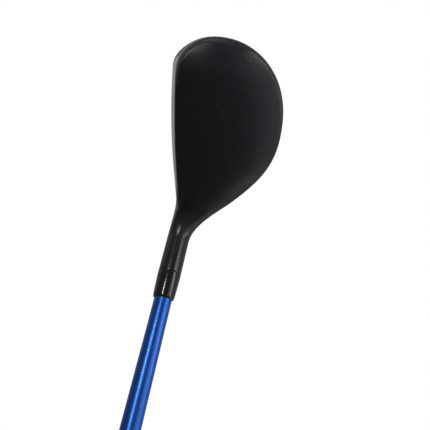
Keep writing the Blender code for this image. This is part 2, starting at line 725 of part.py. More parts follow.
bpy.context.view_layer.update()
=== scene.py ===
"""Looks of a hybrid golf club: smooth head, turned fittings, finishes, stage and camera."""

import math

import bmesh
import bpy
import numpy as np
from bpy.props import FloatProperty, FloatVectorProperty, IntProperty, PointerProperty
from mathutils import Euler, Matrix, Vector


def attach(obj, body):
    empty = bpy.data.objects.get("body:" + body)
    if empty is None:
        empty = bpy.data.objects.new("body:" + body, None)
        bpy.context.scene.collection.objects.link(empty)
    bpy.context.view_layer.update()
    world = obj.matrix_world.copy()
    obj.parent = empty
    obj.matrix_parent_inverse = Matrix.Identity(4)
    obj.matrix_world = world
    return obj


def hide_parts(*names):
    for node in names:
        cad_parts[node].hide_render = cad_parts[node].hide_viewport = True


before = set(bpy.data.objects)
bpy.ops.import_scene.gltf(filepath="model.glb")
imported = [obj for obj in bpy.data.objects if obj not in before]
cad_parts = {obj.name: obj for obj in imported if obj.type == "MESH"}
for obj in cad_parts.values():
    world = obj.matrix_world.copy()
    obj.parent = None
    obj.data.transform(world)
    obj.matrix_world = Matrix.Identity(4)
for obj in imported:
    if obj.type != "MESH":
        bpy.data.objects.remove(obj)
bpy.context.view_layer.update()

bl_info = {
    "name": "Hybrid club looks",
    "version": (1, 0, 0),
    "blender": (4, 5, 0),
    "location": "View3D > Sidebar > Club",
    "description": "Builds the visible pieces of a hybrid golf club round its solid model",
    "category": "Object",
}

# Sizes below are in millimetres, in the frame of the solid model: sole on the ground,
# shaft leaning to +X, face to -Y, toe to -X.
MM = 0.001

# Club
CLUB_LENGTH = 1010.0
LIE = math.radians(58.5)
LOFT = math.radians(19.0)
AXIS_X = 37.0
AXIS_Y = -8.0

# Head outline
TOE_X = -44.0
TOE_Y = 8.5
TOE_Z = 22.0
TOE_CORNER = 16.0
TOE_POWER = 2.1
BACK_POWER = 2.2
BACK_Y = 42.2
BACK_X = -5.0
BACK_R = 45.0
BACK_FULL = 1.1
FACE_Y = -14.5
FACE_MID_Z = 21.0
BULGE_R = 400.0
BULGE_X = 10.0
TOP_Z = 36.5
TOP_R = 300.0
LEAD_Z = 4.5
SOLE_R = 250.0
SOLE_DROP = 11.8
BACK_Z = 19.0
BACK_RISE = 0.065
EDGE_R = 2.2
HEEL_RISE_X = 14.0
HEEL_RISE_R = 80.0

# Pull of the curves of a section: shares of the chord on the crown, with the rise of its two ends,
# and shares of the section's height and width on the skirt and the sole
CROWN_FRONT_PULL = 0.33
CROWN_FRONT_RISE = math.radians(7)
CROWN_BACK_PULL = 0.36
CROWN_BACK_RISE = math.radians(36)
SKIRT_LEAN = 0.02
SKIRT_PULL = 0.85
SOLE_PULL = 0.3

# Neck, hosel and walls
HOSEL_D = 12.3
HOSEL_LENGTH = 63.3
NECK_END = 44.0
NECK_R = 14.0
NECK_BLEND = 2.1
BOND = 0.12
WALL = 2.3
FRONT_WALL = 4.2
CROWN_T = 0.9
CROWN_LEDGE = 3.0
CROWN_RIM = 1.2
TOE_RIM = 0.3
SEAM = 0.3
FACE_T = 2.4
FACE_LEDGE = 2.0
FACE_RIM = 1.6

# Sole weight
PORT_X = -4.0
PORT_Y = 23.0
PORT_BOSS = 2.2
WEIGHT_D = 15.0
WEIGHT_T = 5.0
WEIGHT_TOP = -1.2
SCREW_HEAD_D = 6.8
SCREW_HEAD_T = 2.4
SCREW_D = 4.0
SCREW_REACH = 4.5
SOCKET_D = 3.0
GASKET_T = 0.8
FIT = 0.3

# Shaft, ferrule and grip
TIP_D = 9.4
TIP_PARALLEL = 60.0
BUTT_D = 15.2
SHAFT_WALL = 2.0
INSERT = 33.0
PLUG_HEAD_T = 2.0
FERRULE_LENGTH = 14.4
FERRULE_GAP = 0.06
FERRULE_END_D = 11.4
GRIP_LENGTH = 267.0
GRIP_MOUTH_D = 18.6
GRIP_BUTT_D = 26.6
TAPE_T = 0.4
TAPE_GAP = 0.1
CAP_T = 3.0
VENT_D = 3.2

TAN_LOFT = math.tan(LOFT)
LOFT_FADE = 1.6
HOSEL_R = HOSEL_D / 2.0
TIP_R = TIP_D / 2.0
BUTT_R = BUTT_D / 2.0
S_DIR = Vector((math.cos(LIE), 0.0, math.sin(LIE)))
UP_DIR = Vector((-math.sin(LIE), 0.0, math.cos(LIE)))
GROUND = Vector((AXIS_X, AXIS_Y, 0.0))
PIVOT = GROUND + S_DIR * NECK_END + UP_DIR * (NECK_R + HOSEL_R)
HEEL_X = PIVOT.x
SHAFT_AXIS = Matrix.Translation(GROUND * MM) @ Euler((0.0, math.pi / 2.0 - LIE, 0.0)).to_matrix().to_4x4()

# Points of a section on the face, the crown, the sole and each rounded corner
FINE = (14, 44, 44, 5)
COARSE = (7, 12, 13, 1)
TURN_STEPS = 96
THREAD_ROWS = 110
MERGE = 0.000002              # points closer than this are one, in metres


def length_prop(label, text, value, low, high):
    """A length that a user may change."""
    return FloatProperty(name=label, description=text, default=value, min=low, max=high,
                         precision=5, unit="LENGTH")


def power_prop(label, text, value):
    """The power of a light that a user may change."""
    return FloatProperty(name=label, description=text, default=value, min=0.0, max=200.0, subtype="POWER")


def colour_prop(label, text, value):
    """A colour that a user may change."""
    return FloatVectorProperty(name=label, description=text, default=value,
                               size=3, min=0.0, max=1.0, subtype="COLOR")


class ClubSizes(bpy.types.PropertyGroup):
    """Sizes of the visible detail."""
    seam_gap: length_prop("Seam gap", "Gap between the crown skin and the body", 0.0001, 0.00005, 0.0003)
    edge_roll: length_prop(
        "Edge roll", "Width of the rolled edge of the crown skin at the toe", 0.0019, 0.0005, 0.005)
    edge_rise: length_prop("Edge rise", "Height of that rolled edge", 0.0017, 0.0, 0.003)
    score_count: IntProperty(
        name="Score lines", description="Number of score lines on the face",
        default=7, min=3, max=9)
    score_pitch: length_prop("Score pitch", "Distance between score lines", 0.0032, 0.002, 0.004)
    score_width: length_prop("Score width", "Width of a score line", 0.0009, 0.0004, 0.0012)
    score_depth: length_prop("Score depth", "Depth of a score line", 0.0004, 0.0001, 0.0006)
    wrap_pitch: length_prop("Wrap pitch", "Pitch of the spiral groove on the grip", 0.017, 0.01, 0.03)
    wrap_depth: length_prop("Wrap depth", "Depth of the spiral groove on the grip", 0.0006, 0.0002, 0.001)
    thread_pitch: length_prop("Thread pitch", "Pitch of the weight screw", 0.001, 0.0005, 0.002)
    thread_depth: length_prop("Thread depth", "Depth of the weight screw's thread", 0.0003, 0.0001, 0.0005)


class ClubFinishes(bpy.types.PropertyGroup):
    """Colours of the finishes."""
    crown_black: colour_prop("Crown", "Matte paint of the crown", (0.0105, 0.0098, 0.0145))
    body_black: colour_prop("Body", "Paint of the body", (0.0095, 0.009, 0.0125))
    hosel_black: colour_prop("Hosel", "Dark metal of the hosel", (0.085, 0.081, 0.083))
    face_steel: colour_prop("Face", "Satin steel of the face", (0.8, 0.78, 0.74))
    # The steel shade band is a dim warm brown painted where the bare steel turns away into the black: painted
    # shade standing in for the steel's fading reflection
    steel_shade_band: colour_prop(
        "Steel shade band", "Painted shade where the bare steel turns away into the black", (0.08, 0.062, 0.05))
    shaft_blue: colour_prop("Shaft", "Metallic paint of the shaft", (0.029, 0.142, 0.58))
    ferrule_black: colour_prop("Ferrule", "Polished plastic of the ferrule", (0.011, 0.0105, 0.0125))
    grip_black: colour_prop("Grip", "Rubber of the grip", (0.014, 0.014, 0.015))
    weight_grey: colour_prop("Weight", "Tungsten of the sole weight", (0.30, 0.30, 0.31))
    screw_dark: colour_prop("Screw", "Oiled steel of the screw", (0.10, 0.10, 0.105))


class ClubStage(bpy.types.PropertyGroup):
    """Floor and light."""
    floor_white: colour_prop("Floor", "Colour of the floor", (1.0, 1.0, 1.0))
    cool_light: colour_prop("Cool light", "Colour of the backdrop and the heel panel", (0.93, 0.91, 1.0))
    room_light: FloatProperty(
        name="Room light", description="Strength of the even light of the room",
        default=0.12, min=0.0, max=3.0)
    strip_power: power_prop("Strip power", "Power of the narrow light beyond the toe", 2.4)
    panel_power: power_prop("Panel power", "Power of the low soft panel behind the head", 0.38)
    glint_power: power_prop("Toe glint", "Power of the small light close to the toe", 0.0021)
    back_glint_power: power_prop(
        "Back glint", "Power of the small light close to the back of the toe", 0.0058)
    backdrop_power: power_prop(
        "Backdrop power", "Power of the wide soft light behind the trailing edge", 1.78)
    heel_power: power_prop("Heel panel power", "Power of the soft panel behind the heel", 0.39)


# Mesh helpers

def select_only(obj):
    """Makes one object the only selected and the active one."""
    bpy.ops.object.select_all(action="DESELECT")
    obj.select_set(True)
    bpy.context.view_layer.objects.active = obj


def new_object(name, bm):
    """Turns a bmesh into an object of the scene."""
    mesh = bpy.data.meshes.new(name)
    bm.to_mesh(mesh)
    bm.free()
    obj = bpy.data.objects.new(name, mesh)
    bpy.context.scene.collection.objects.link(obj)
    return obj


def loft(name, rings, tip=None):
    """Closed skin over rings of equal count, with an optional point at the start."""
    bm = bmesh.new()
    rows = [[bm.verts.new(Vector(p) * MM) for p in ring] for ring in rings]
    count = len(rows[0])
    for low, high in zip(rows, rows[1:]):
        for i in range(count):
            j = (i + 1) % count
            bm.faces.new((low[i], high[i], high[j], low[j]))
    if tip is None:
        bm.faces.new(rows[0])
    else:
        point = bm.verts.new(Vector(tip) * MM)
        for i in range(count):
            bm.faces.new((rows[0][i], rows[0][(i + 1) % count], point))
    bm.faces.new(list(reversed(rows[-1])))
    return new_object(name, bm)


def turned(name, profile, place, steps=TURN_STEPS, closed=True):
    """Draws a circle out ring by ring along a (radius, height) profile, then places it."""
    bpy.ops.object.select_all(action="DESELECT")
    radius, height = profile[0]
    bpy.ops.mesh.primitive_circle_add(vertices=steps, radius=radius * MM, location=(0.0, 0.0, height * MM))
    obj = bpy.context.object
    obj.name = name
    obj.data.name = name
    bpy.ops.object.transform_apply(location=True, rotation=True, scale=True)
    bpy.ops.object.mode_set(mode="EDIT")
    bpy.ops.mesh.select_all(action="SELECT")
    if not closed:
        bpy.ops.mesh.edge_face_add()
        bpy.ops.mesh.select_all(action="SELECT")
        bpy.ops.mesh.select_mode(type="EDGE")
    ring = list(profile[1:])
    if closed:
        ring.append(profile[0])
    for next_radius, next_height in ring:
        bpy.ops.mesh.extrude_edges_move(
            TRANSFORM_OT_translate={"value": (0.0, 0.0, (next_height - height) * MM)})
        k = next_radius / radius
        bpy.ops.transform.resize(value=(k, k, 1.0), center_override=(0.0, 0.0, 0.0))
        radius, height = next_radius, next_height
    if not closed:
        bpy.ops.mesh.edge_face_add()
    bpy.ops.mesh.select_all(action="SELECT")
    bpy.ops.mesh.remove_doubles(threshold=MERGE)
    bpy.ops.mesh.normals_make_consistent(inside=False)
    bpy.ops.object.mode_set(mode="OBJECT")
    settle(obj, place)
    return obj


def settle(obj, place):
    """Moves a piece made on the upright axis to its place and writes that into its mesh."""
    select_only(obj)
    obj.matrix_world = place
    bpy.ops.object.transform_apply(location=True, rotation=True, scale=True)


def cut(obj, tools):
    """Applies (tool, operation) pairs as exact Booleans and removes the tools."""
    select_only(obj)
    for tool, operation in tools:
        mod = obj.modifiers.new(tool.name, "BOOLEAN")
        mod.operation = operation
        mod.solver = "EXACT"
        mod.object = tool
        bpy.ops.object.modifier_apply(modifier=mod.name)
    for tool in {tool for tool, _ in tools}:
        bpy.data.objects.remove(tool, do_unlink=True)


def finish_piece(obj, mat, body, nodes, angle=32.0):
    """Smooths a piece, gives it its finish and ties it to the model."""
    select_only(obj)
    bpy.ops.object.shade_smooth_by_angle(angle=math.radians(angle))
    obj.data.materials.clear()
    obj.data.materials.append(mat)
    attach(obj, body)
    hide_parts(*nodes)


# Head surface

def toe_factor(x):
    """1 along the head, falling to 0 at the toe extreme as a quarter ellipse."""
    w = min(max((TOE_X + TOE_CORNER - x) / TOE_CORNER, 0.0), 1.0)
    return math.sqrt(1.0 - w ** TOE_POWER)


def back_edge(x):
    """Trailing edge point (y, z)."""
    if x < BACK_X:
        w = min((BACK_X - x) / (BACK_X - TOE_X), 1.0)
        k = math.sqrt(1.0 - w ** BACK_POWER)
        return TOE_Y + (BACK_Y - TOE_Y) * k, TOE_Z + (BACK_Z - TOE_Z) * k
    d = x - BACK_X
    full = BACK_FULL * math.sin(math.pi * min(d / (HEEL_X - BACK_X), 1.0)) ** 2
    return BACK_Y - d * d / (2.0 * BACK_R) + full, BACK_Z + BACK_RISE * d


def face_point(x, z):
    """Y of the face at height z; the loft fades out round the toe."""
    k = toe_factor(x)
    middle = FACE_Y + (x - BULGE_X) ** 2 / (2.0 * BULGE_R)
    return TOE_Y - (TOE_Y - middle) * k + (z - FACE_MID_Z) * TAN_LOFT * k ** LOFT_FADE


def sole_rise(x):
    """Lift of the sole from its camber and the relief at the heel."""
    relief = max(x - HEEL_RISE_X, 0.0)
    return x * x / (2.0 * SOLE_R) + relief * relief / (2.0 * HEEL_RISE_R)


def face_heights(x):
    """Leading edge and topline heights."""
    k = toe_factor(x)
    low = TOE_Z - (TOE_Z - LEAD_Z - sole_rise(x)) * k
    high = TOE_Z + (TOP_Z - (x - BACK_X) ** 2 / (2.0 * TOP_R) - TOE_Z) * k
    return low, high


def bezier(p0, p1, p2, p3, t):
    """Point of a cubic curve."""
    s = 1.0 - t
    return p0 * s ** 3 + p1 * 3 * s * s * t + p2 * 3 * s * t * t + p3 * t ** 3


def corner(point, t1, d1, t2, d2):
    """Moves a corner inwards by one depth from each of its two lines."""
    n1 = Vector((t1.y, -t1.x)).normalized()
    n2 = Vector((t2.y, -t2.x)).normalized()
    det = n1.x * n2.y - n1.y * n2.x
    return point + Vector(((d1 * n2.y - d2 * n1.y) / det, (d2 * n1.x - d1 * n2.x) / det))


def section_curves(x, front=0.0, rest=0.0):
    """Corners of a section and its crown and sole curves, set in by the wall depths."""
    k = toe_factor(x)
    low, high = face_heights(x)
    lead = Vector((face_point(x, low), low))
    top = Vector((face_point(x, high), high))
    back = Vector(back_edge(x))
    chord = (back - top).length
    c1 = CROWN_FRONT_PULL * chord * Vector((math.cos(CROWN_FRONT_RISE), math.sin(CROWN_FRONT_RISE)))
    c2 = CROWN_BACK_PULL * chord * Vector((-math.cos(CROWN_BACK_RISE), math.sin(CROWN_BACK_RISE)))
    width = back.x - lead.x
    floor = TOE_Z - (TOE_Z - sole_rise(x)) * k
    s1 = Vector((-SKIRT_LEAN * width, -SKIRT_PULL * (back.y - floor)))
    s2 = Vector((SOLE_PULL * width, -SOLE_DROP * k))
    if front or rest:
        face = top - lead
        inner_lead = corner(lead, -s2, rest, face, front)
        inner_top = corner(top, face, front, c1, rest)
        inner_back = corner(back, -c2, rest, s1, rest)
        shrink = (inner_back - inner_top).length / chord
        c1, c2 = c1 * shrink, c2 * shrink
        shrink = (inner_back - inner_lead).length / (back - lead).length
        s1, s2 = s1 * shrink, s2 * shrink
        lead, top, back = inner_lead, inner_top, inner_back
    return lead, top, back, (top + c1, back + c2), (back + s1, lead + s2)


def rounded(before, point, after, count):
    """Points of a rounded corner between its two neighbours."""
    ts = [(i + 1.0) / (count + 1.0) for i in range(count)]
    return [before * (1 - t) ** 2 + point * 2 * t * (1 - t) + after * t * t for t in ts]


def section(x, front=0.0, rest=0.0, counts=FINE):
    """Closed section at x, with rounded corners, never below the ground."""
    face_n, crown_n, sole_n, corner_n = counts
    lead, top, back, (c1, c2), (s1, s2) = section_curves(x, front, rest)
    edge = max(EDGE_R - rest, 0.4 * EDGE_R) * (0.15 + 0.85 * toe_factor(x))
    a = min(edge / (top - lead).length, 0.3)
    b = min(edge / max((back - top).length, 0.01), 0.2) / 1.1
    face = [lead.lerp(top, a + (1.0 - 2.0 * a) * i / (face_n - 1)) for i in range(face_n)]
    crown_ts = [b + (1.0 - 2.0 * b) * i / (crown_n - 1) for i in range(crown_n)]
    crown = [bezier(top, c1, c2, back, t) for t in crown_ts]
    sole_ts = [b + (1.0 - 2.0 * b) * i / (sole_n - 1) for i in range(sole_n)]
    sole = [bezier(back, s1, s2, lead, t) for t in sole_ts]
    points = face + rounded(face[-1], top, crown[0], corner_n) + crown
    points += rounded(crown[-1], back, sole[0], corner_n) + sole
    points += rounded(sole[-1], lead, face[0], corner_n)
    return [Vector((p.x, max(p.y, rest))) for p in points]


# Angles where the top, back and lead corners of a section arrive on the hosel, and half their spread
HOSEL_CORNERS = (128, 2, -124)
HOSEL_NEAR = 8
HOSEL_SIDE = 4


def ring_angles(counts):
    """Angles that the section points take on the round hosel, from +Y over the top."""
    face_n, crown_n, sole_n, corner_n = counts
    top, back, lead = (math.radians(a) for a in HOSEL_CORNERS)
    near, side, turn = math.radians(HOSEL_NEAR), math.radians(HOSEL_SIDE), 2 * math.pi
    spans = (
        (turn + lead - near, top + near, face_n),
        (top + near, top - near, corner_n),
        (top - near, back + side, crown_n),
        (back + side, back - side, corner_n),
        (back - side, lead + near, sole_n),
        (lead + near, lead - near, corner_n),
    )
    angles = []
    for number, (start, end, count) in enumerate(spans):
        for i in range(count):
            u = (i + 1.0) / (count + 1.0) if number % 2 else i / (count - 1.0)
            angles.append(start + (end - start) * u)
    return angles


def head_rings(front=0.0, rest=0.0, first=None, last=None, counts=FINE):
    """Sections along the head, from the toe to the heel."""
    start = TOE_X + TOE_CORNER
    if counts is FINE:
        toe_angles = [88.5, 87, 85] + list(range(82, 3, -3))
        along = 72
    else:
        toe_angles = [84, 76, 66, 54, 39, 21]
        along = 10
    xs = [TOE_X + TOE_CORNER * (1.0 - math.sin(math.radians(a))) for a in toe_angles]
    xs += [start + (HEEL_X - start) * i / along for i in range(along + 1)]
    if first is not None:
        xs = [first] + [x for x in xs if x > first + 1.0]
    if last is not None:
        xs = [x for x in xs if x < last - 1.0] + [last]
    return [[(x, p.x, p.y) for p in section(x, front, rest, counts)] for x in xs]


# Rings of the straight hosel up to its rounded rim: distance along the axis and inset from its radius
HOSEL_ROUNDS = (
    (50.0, 0.0), (56.0, 0.0), (HOSEL_LENGTH - 0.7, 0.0), (HOSEL_LENGTH - 0.35, 0.0),
    (HOSEL_LENGTH - 0.25, 0.03), (HOSEL_LENGTH - 0.05, 0.2), (HOSEL_LENGTH, 0.3),
)
NECK_STEPS = 36


def neck_rings():
    """From the heel section to the hosel rim."""
    heel = section(HEEL_X)
    angles = ring_angles(FINE)
    rings = []
    for n in range(1, NECK_STEPS + 1):
        v = n / NECK_STEPS
        m = 1.0 - (1.0 - v) ** NECK_BLEND
        down = Vector((math.sin(v * LIE), 0.0, -math.cos(v * LIE)))
        ring = []
        for p, angle in zip(heel, angles):
            y = p.x + (AXIS_Y + HOSEL_R * math.cos(angle) - p.x) * m
            b = PIVOT.z - p.y
            b += (NECK_R + HOSEL_R - HOSEL_R * math.sin(angle) - b) * m
            q = Vector((PIVOT.x, y, PIVOT.z)) + down * b
            ring.append((q.x, q.y, max(q.z, 0.0)))
        rings.append(ring)
    for along, inset in HOSEL_ROUNDS:
        r = HOSEL_R - inset
        centre = GROUND + S_DIR * along
        rings.append([tuple(centre + Vector((0.0, r * math.cos(a), 0.0)) + UP_DIR * r * math.sin(a))
                      for a in angles])
    return rings


STATION_STEP = 0.25
CROWN_STATIONS = []


def crown_stations():
    """Upper lines of fine sections, kept once: heights over y at even steps of x."""
    if not CROWN_STATIONS:
        face_n, crown_n, _, corner_n = FINE
        for i in range(int((HEEL_X - TOE_X) / STATION_STEP)):
            line = section(TOE_X + (i + 0.5) * STATION_STEP)[face_n - 1:face_n + crown_n + 2 * corner_n]
            widest = max(range(len(line)), key=lambda n: line[n].x)
            line = line[:widest + 1]
            CROWN_STATIONS.append((np.array([p.x for p in line]), np.array([p.y for p in line])))
    return CROWN_STATIONS


def crown_height(x, y):
    """Height of the head's upper skin over a plan point."""
    lines = crown_stations()
    at = min(max((x - TOE_X) / STATION_STEP - 0.5, 0.0), len(lines) - 1.001)
    i = int(at)
    low, high = (float(np.interp(y, *line)) for line in lines[i:i + 2])
    return low + (high - low) * (at - i)


def crown_point(x, y):
    """Crown surface point and its outward normal over a plan point."""
    h = 0.4
    dx = (crown_height(x + h, y) - crown_height(x - h, y)) / (2.0 * h)
    dy = (crown_height(x, y + h) - crown_height(x, y - h)) / (2.0 * h)
    return Vector((x, y, crown_height(x, y))), Vector((-dx, -dy, 1.0)).normalized()


def crown_corners():
    """Plan line of the head's edge over the crown, with the inset of the crown there."""
    line = []
    last = HEEL_X - 2.0
    heel_front = last - 5.0
    start = TOE_X + TOE_CORNER
    for i in range(60):
        x = heel_front + (start - heel_front) * i / 60.0
        line.append((x, section_curves(x)[1].x, CROWN_RIM))
    for i in range(29):
        a = math.radians(3.0 * i)
        x = TOE_X + TOE_CORNER * (1.0 - math.sin(a))
        line.append((x, section_curves(x)[1].x, CROWN_RIM - TOE_RIM * math.sin(a)))
    for i in range(36):
        w = math.cos(math.radians(3.0 + 2.4 * i))
        x = BACK_X - (BACK_X - TOE_X) * w
        line.append((x, back_edge(x)[0], CROWN_RIM - TOE_RIM * w ** 3))
    for i in range(49):
        x = BACK_X + (last - BACK_X) * i / 48.0
        line.append((x, back_edge(x)[0], CROWN_RIM))
    return line


def even_loop(points, count):
    """Closed plan line with evenly spaced points."""
    closed = points + [points[0]]
    lengths = [0.0]
    for a, b in zip(closed, closed[1:]):
        lengths.append(lengths[-1] + (b - a).length)
    out = []
    at = 0
    for i in range(count):
        want = lengths[-1] * i / count
        while lengths[at + 1] < want:
            at += 1
        span = max(lengths[at + 1] - lengths[at], 1e-9)
        out.append(closed[at].lerp(closed[at + 1], (want - lengths[at]) / span))
    return out


def loop_normals(points):
    """Unit normals of a closed plan line, to the inside."""
    count = len(points)
    normals = []
    for i in range(count):
        t = (points[(i + 1) % count] - points[i - 1]).normalized()
        normals.append(Vector((t.y, -t.x)))
    return normals


OUTLINE_COUNT = 320
SEAM_FROM_X = -21.0           # the seam opens from here towards the toe
SEAM_TO_Y = 18.0              # and has closed again here on its way round
SEAM_FRONT_FADE = 13.0
SEAM_TOE_FADE = 9.0
OPEN_RIM = 0.65               # the rim is this much narrower where the seam is open and along the lip
SEAM_SHUT = 0.02              # gap where the seam is filled
EDGE_ROUND = 0.12             # small round at the very edge of the crown
ROLL_FADE = 9.0               # the lift of the skin has faded out this far inside its edge
BACK_LIP = 0.17               # height of the lip at the back of the toe, as a share of the roll's
BACK_LIP_WIDTH = 0.8          # it rises over this width
BACK_LIP_Y = 27.5             # middle of the lip
BACK_LIP_SPAN = 13.0          # and how far it reaches each way in y


def crown_outline():
    """Plan line of the crown's edge: the head's edge set in, closed across the heel."""
    line = crown_corners()
    out = []
    for i in range(1, len(line) - 1):
        x, y, d = line[i]
        t = Vector((line[i + 1][0] - line[i - 1][0], line[i + 1][1] - line[i - 1][1])).normalized()
        d -= OPEN_RIM * (seam_share(x, y) + back_share(x, y))
        out.append(Vector((x + t.y * d, y - t.x * d)))
    first, end = out[0], out[-1]
    for i in range(1, 24):
        u = i / 24.0
        out.append(end.lerp(first, u) + Vector((2.6 * math.sin(math.pi * u), 0.0)))
    loop = even_loop(out, OUTLINE_COUNT)
    for _ in range(12):
        loop = [(loop[i - 1] + loop[i] * 2.0 + loop[(i + 1) % OUTLINE_COUNT]) / 4.0
                for i in range(OUTLINE_COUNT)]
    return even_loop(loop, OUTLINE_COUNT)


def moved_outline(outline, insets):
    """The crown's edge line moved to the inside, by one distance for each point."""
    return [p + n * d for p, n, d in zip(outline, loop_normals(outline), insets)]


def seam_share(x, y):
    """How open the seam is at a plan point: open at the front of the toe, shut elsewhere."""
    front = (SEAM_FROM_X - x) / SEAM_FRONT_FADE
    toe = (SEAM_TO_Y - y) / SEAM_TOE_FADE
    share = min(max(min(front, toe), 0.0), 1.0)
    return share * share * (3.0 - 2.0 * share)


def back_share(x, y):
    """How much of the small lip at the back of the toe there is at a plan point."""
    away = abs(y - BACK_LIP_Y) / BACK_LIP_SPAN
    return max(1.0 - away * away, 0.0) ** 2 if x < BACK_X else 0.0


def rolled_crown(outline, shares, sizes):
    """Gives the crown surface as a function of a plan point, with the rolled edge and the lip at the toe."""
    edge = np.array([p[:] for p in outline])
    width, height = sizes.edge_roll / MM, sizes.edge_rise / MM
    lips = [BACK_LIP * back_share(*p) for p in outline]

    def surface(p):
        away = np.hypot(edge[:, 0] - p.x, edge[:, 1] - p.y)
        near = int(away.argmin())
        inside = float(away[near])
        lift = max(1.0 - inside / ROLL_FADE, 0.0) ** 2 - max(1.0 - inside / width, 0.0) ** 3
        lip = max(1.0 - inside / ROLL_FADE, 0.0) ** 2 - max(1.0 - inside / BACK_LIP_WIDTH, 0.0) ** 3
        point, normal = crown_point(p.x, p.y)
        rise = height * (lift * shares[near] + lip * lips[near])
        return point + Vector((0.0, 0.0, rise)), normal

    return surface


def crown_tool(name, outline, insets, depth):
    """Upright cutter on the crown's edge line."""
    line = moved_outline(outline, insets)
    rings = [[(p.x, p.y, crown_height(p.x, p.y) - depth) for p in line],
             [(p.x, p.y, TOP_Z + 12.0) for p in line]]
    bm = bmesh.new()
    rows = [[bm.verts.new(Vector(p) * MM) for p in ring] for ring in rings]
    centre = bm.verts.new(Vector((0.0, TOE_Y, TOE_Z + 2.0)) * MM)
    for low, high in zip(rows, rows[1:]):
        for i in range(OUTLINE_COUNT):
            j = (i + 1) % OUTLINE_COUNT
            bm.faces.new((low[i], low[j], high[j], high[i]))
    for i in range(OUTLINE_COUNT):
        bm.faces.new((rows[0][(i + 1) % OUTLINE_COUNT], rows[0][i], centre))
    bm.faces.new(rows[-1])
    bmesh.ops.recalc_face_normals(bm, faces=bm.faces)
    return new_object(name, bm)


# Face insert

PLATE_TOE = TOE_X + 9.0
PLATE_HEEL = HEEL_X - 4.0
SCORE_END = 0.5               # score lines reach this share of the half width
SCORE_FADE = 0.03
# Cross section of a score line: place across its width and share of its depth
SCORE_SHAPE = ((-0.5, 0.0), (-0.38, 0.25), (-0.16, 0.92), (0.16, 0.92), (0.38, 0.25), (0.5, 0.0))
PLATE_BEVEL = 0.08


def face_tilt(x):
    """Lean of the face at x."""
    return math.atan(TAN_LOFT * toe_factor(x) ** LOFT_FADE)


def plate_line(x, grow):
    """Lower and upper end of the face insert at x, as distances up the face."""
    low, high = face_heights(x)
    length = (high - low) / math.cos(face_tilt(x))
    middle = (PLATE_TOE + PLATE_HEEL) / 2.0
    half = (PLATE_HEEL - PLATE_TOE) / 2.0 + grow
    u = min(abs(x - middle) / half, 0.999)
    fade = (1.0 - u ** 5) ** 0.5
    reach = (length / 2.0 - FACE_RIM - EDGE_R * 0.5 + grow) * fade
    return low, length / 2.0 - reach, length / 2.0 + reach


def plate_steps():
    """Stations along the insert, closer at its round ends."""
    right = [i / 28.0 for i in range(1, 22)] + [0.79, 0.83, 0.87, 0.9, 0.925, 0.945, 0.962]
    right += [0.975, 0.985, 0.992, 0.997]
    right += [SCORE_END + SCORE_FADE * f for f in (-1.0, -0.5, 0.01, 0.5, 1.0)]
    right.sort()
    return [-s for s in reversed(right)] + [0.0] + right


def plate_rings(grow, front, back, sizes=None):
    """Rings of the face insert, or of its seat, from the toe to the heel."""
    middle = (PLATE_TOE + PLATE_HEEL) / 2.0
    half = (PLATE_HEEL - PLATE_TOE) / 2.0 + grow
    rings = []
    for s in plate_steps():
        x = middle + s * half
        tilt = face_tilt(x)
        normal = Vector((0.0, -math.cos(tilt), math.sin(tilt)))
        along = Vector((0.0, math.sin(tilt), math.cos(tilt)))
        low, start, end = plate_line(x, grow)
        base = Vector((x, face_point(x, low), low))
        marks = [(start, 0.0), (end, 0.0)]
        if sizes is not None:
            marks = score_marks(s, start, end, sizes)
        ring = [base + along * m + normal * (front - d) for m, d in marks]
        ring.append(base + along * end - normal * back)
        ring.append(base + along * start - normal * back)
        rings.append([tuple(p) for p in ring])
    return rings


def score_marks(s, start, end, sizes):
    """Distances up the face and depths of the score lines at one station."""
    centre = (start + end) / 2.0
    count = sizes.score_count
    pitch, width = sizes.score_pitch / MM, sizes.score_width / MM
    room = min(1.0, (end - start) / 2.0 / (count * pitch / 2.0 + width))
    fade = min(max((SCORE_END + SCORE_FADE - abs(s)) / (2.0 * SCORE_FADE), 0.0), 1.0)
    depth = sizes.score_depth / MM * fade
    bevel = min(PLATE_BEVEL, (end - start) / 4.0)
    marks = [(start, bevel), (start + bevel, 0.0)]
    for g in range(count):
        at = centre + (g - (count - 1) / 2.0) * pitch * room
        for across, share in SCORE_SHAPE:
            marks.append((at + across * width * room, depth * share))
    return marks + [(end - bevel, 0.0), (end, bevel)]


# Sole port and shaft

def port_place():
    """Matrix of the port: its axis is square to the sole where it lies."""
    lead, _, back, _, (s1, s2) = section_curves(PORT_X)
    lo, hi = 0.0, 1.0
    for _ in range(40):
        t = (lo + hi) / 2.0
        if bezier(back, s1, s2, lead, t).x > PORT_Y:
            lo = t
        else:
            hi = t
    p = bezier(back, s1, s2, lead, lo)
    q = bezier(back, s1, s2, lead, lo - 0.02)
    tilt = math.atan2(q.y - p.y, q.x - p.x)
    turn = Euler((math.pi + tilt, 0.0, 0.0)).to_matrix().to_4x4()
    return Matrix.Translation(Vector((PORT_X, p.x, p.y)) * MM) @ turn


WEIGHT_R = WEIGHT_D / 2.0
PORT_R = WEIGHT_R + FIT
SCREW_R = SCREW_D / 2.0
HEAD_R = SCREW_HEAD_D / 2.0
WEIGHT_LOW = WEIGHT_TOP - WEIGHT_T
PORT_FLOOR = WEIGHT_LOW - GASKET_T - 2 * FIT
HOLE_END = PORT_FLOOR - SCREW_REACH - FIT
BOSS_R = PORT_R + PORT_BOSS
TIP_Z = HOSEL_LENGTH - INSERT
BUTT_Z = CLUB_LENGTH - CAP_T - SEAM
GRIP_Z = CLUB_LENGTH - GRIP_LENGTH
PARALLEL_Z = TIP_Z + TIP_PARALLEL


def shaft_radius(z):
    """Outer radius of the shaft at a height on its axis."""
    if z <= PARALLEL_Z:
        return TIP_R
    return TIP_R + (BUTT_R - TIP_R) * (z - PARALLEL_Z) / (BUTT_Z - PARALLEL_Z)


# Finishes

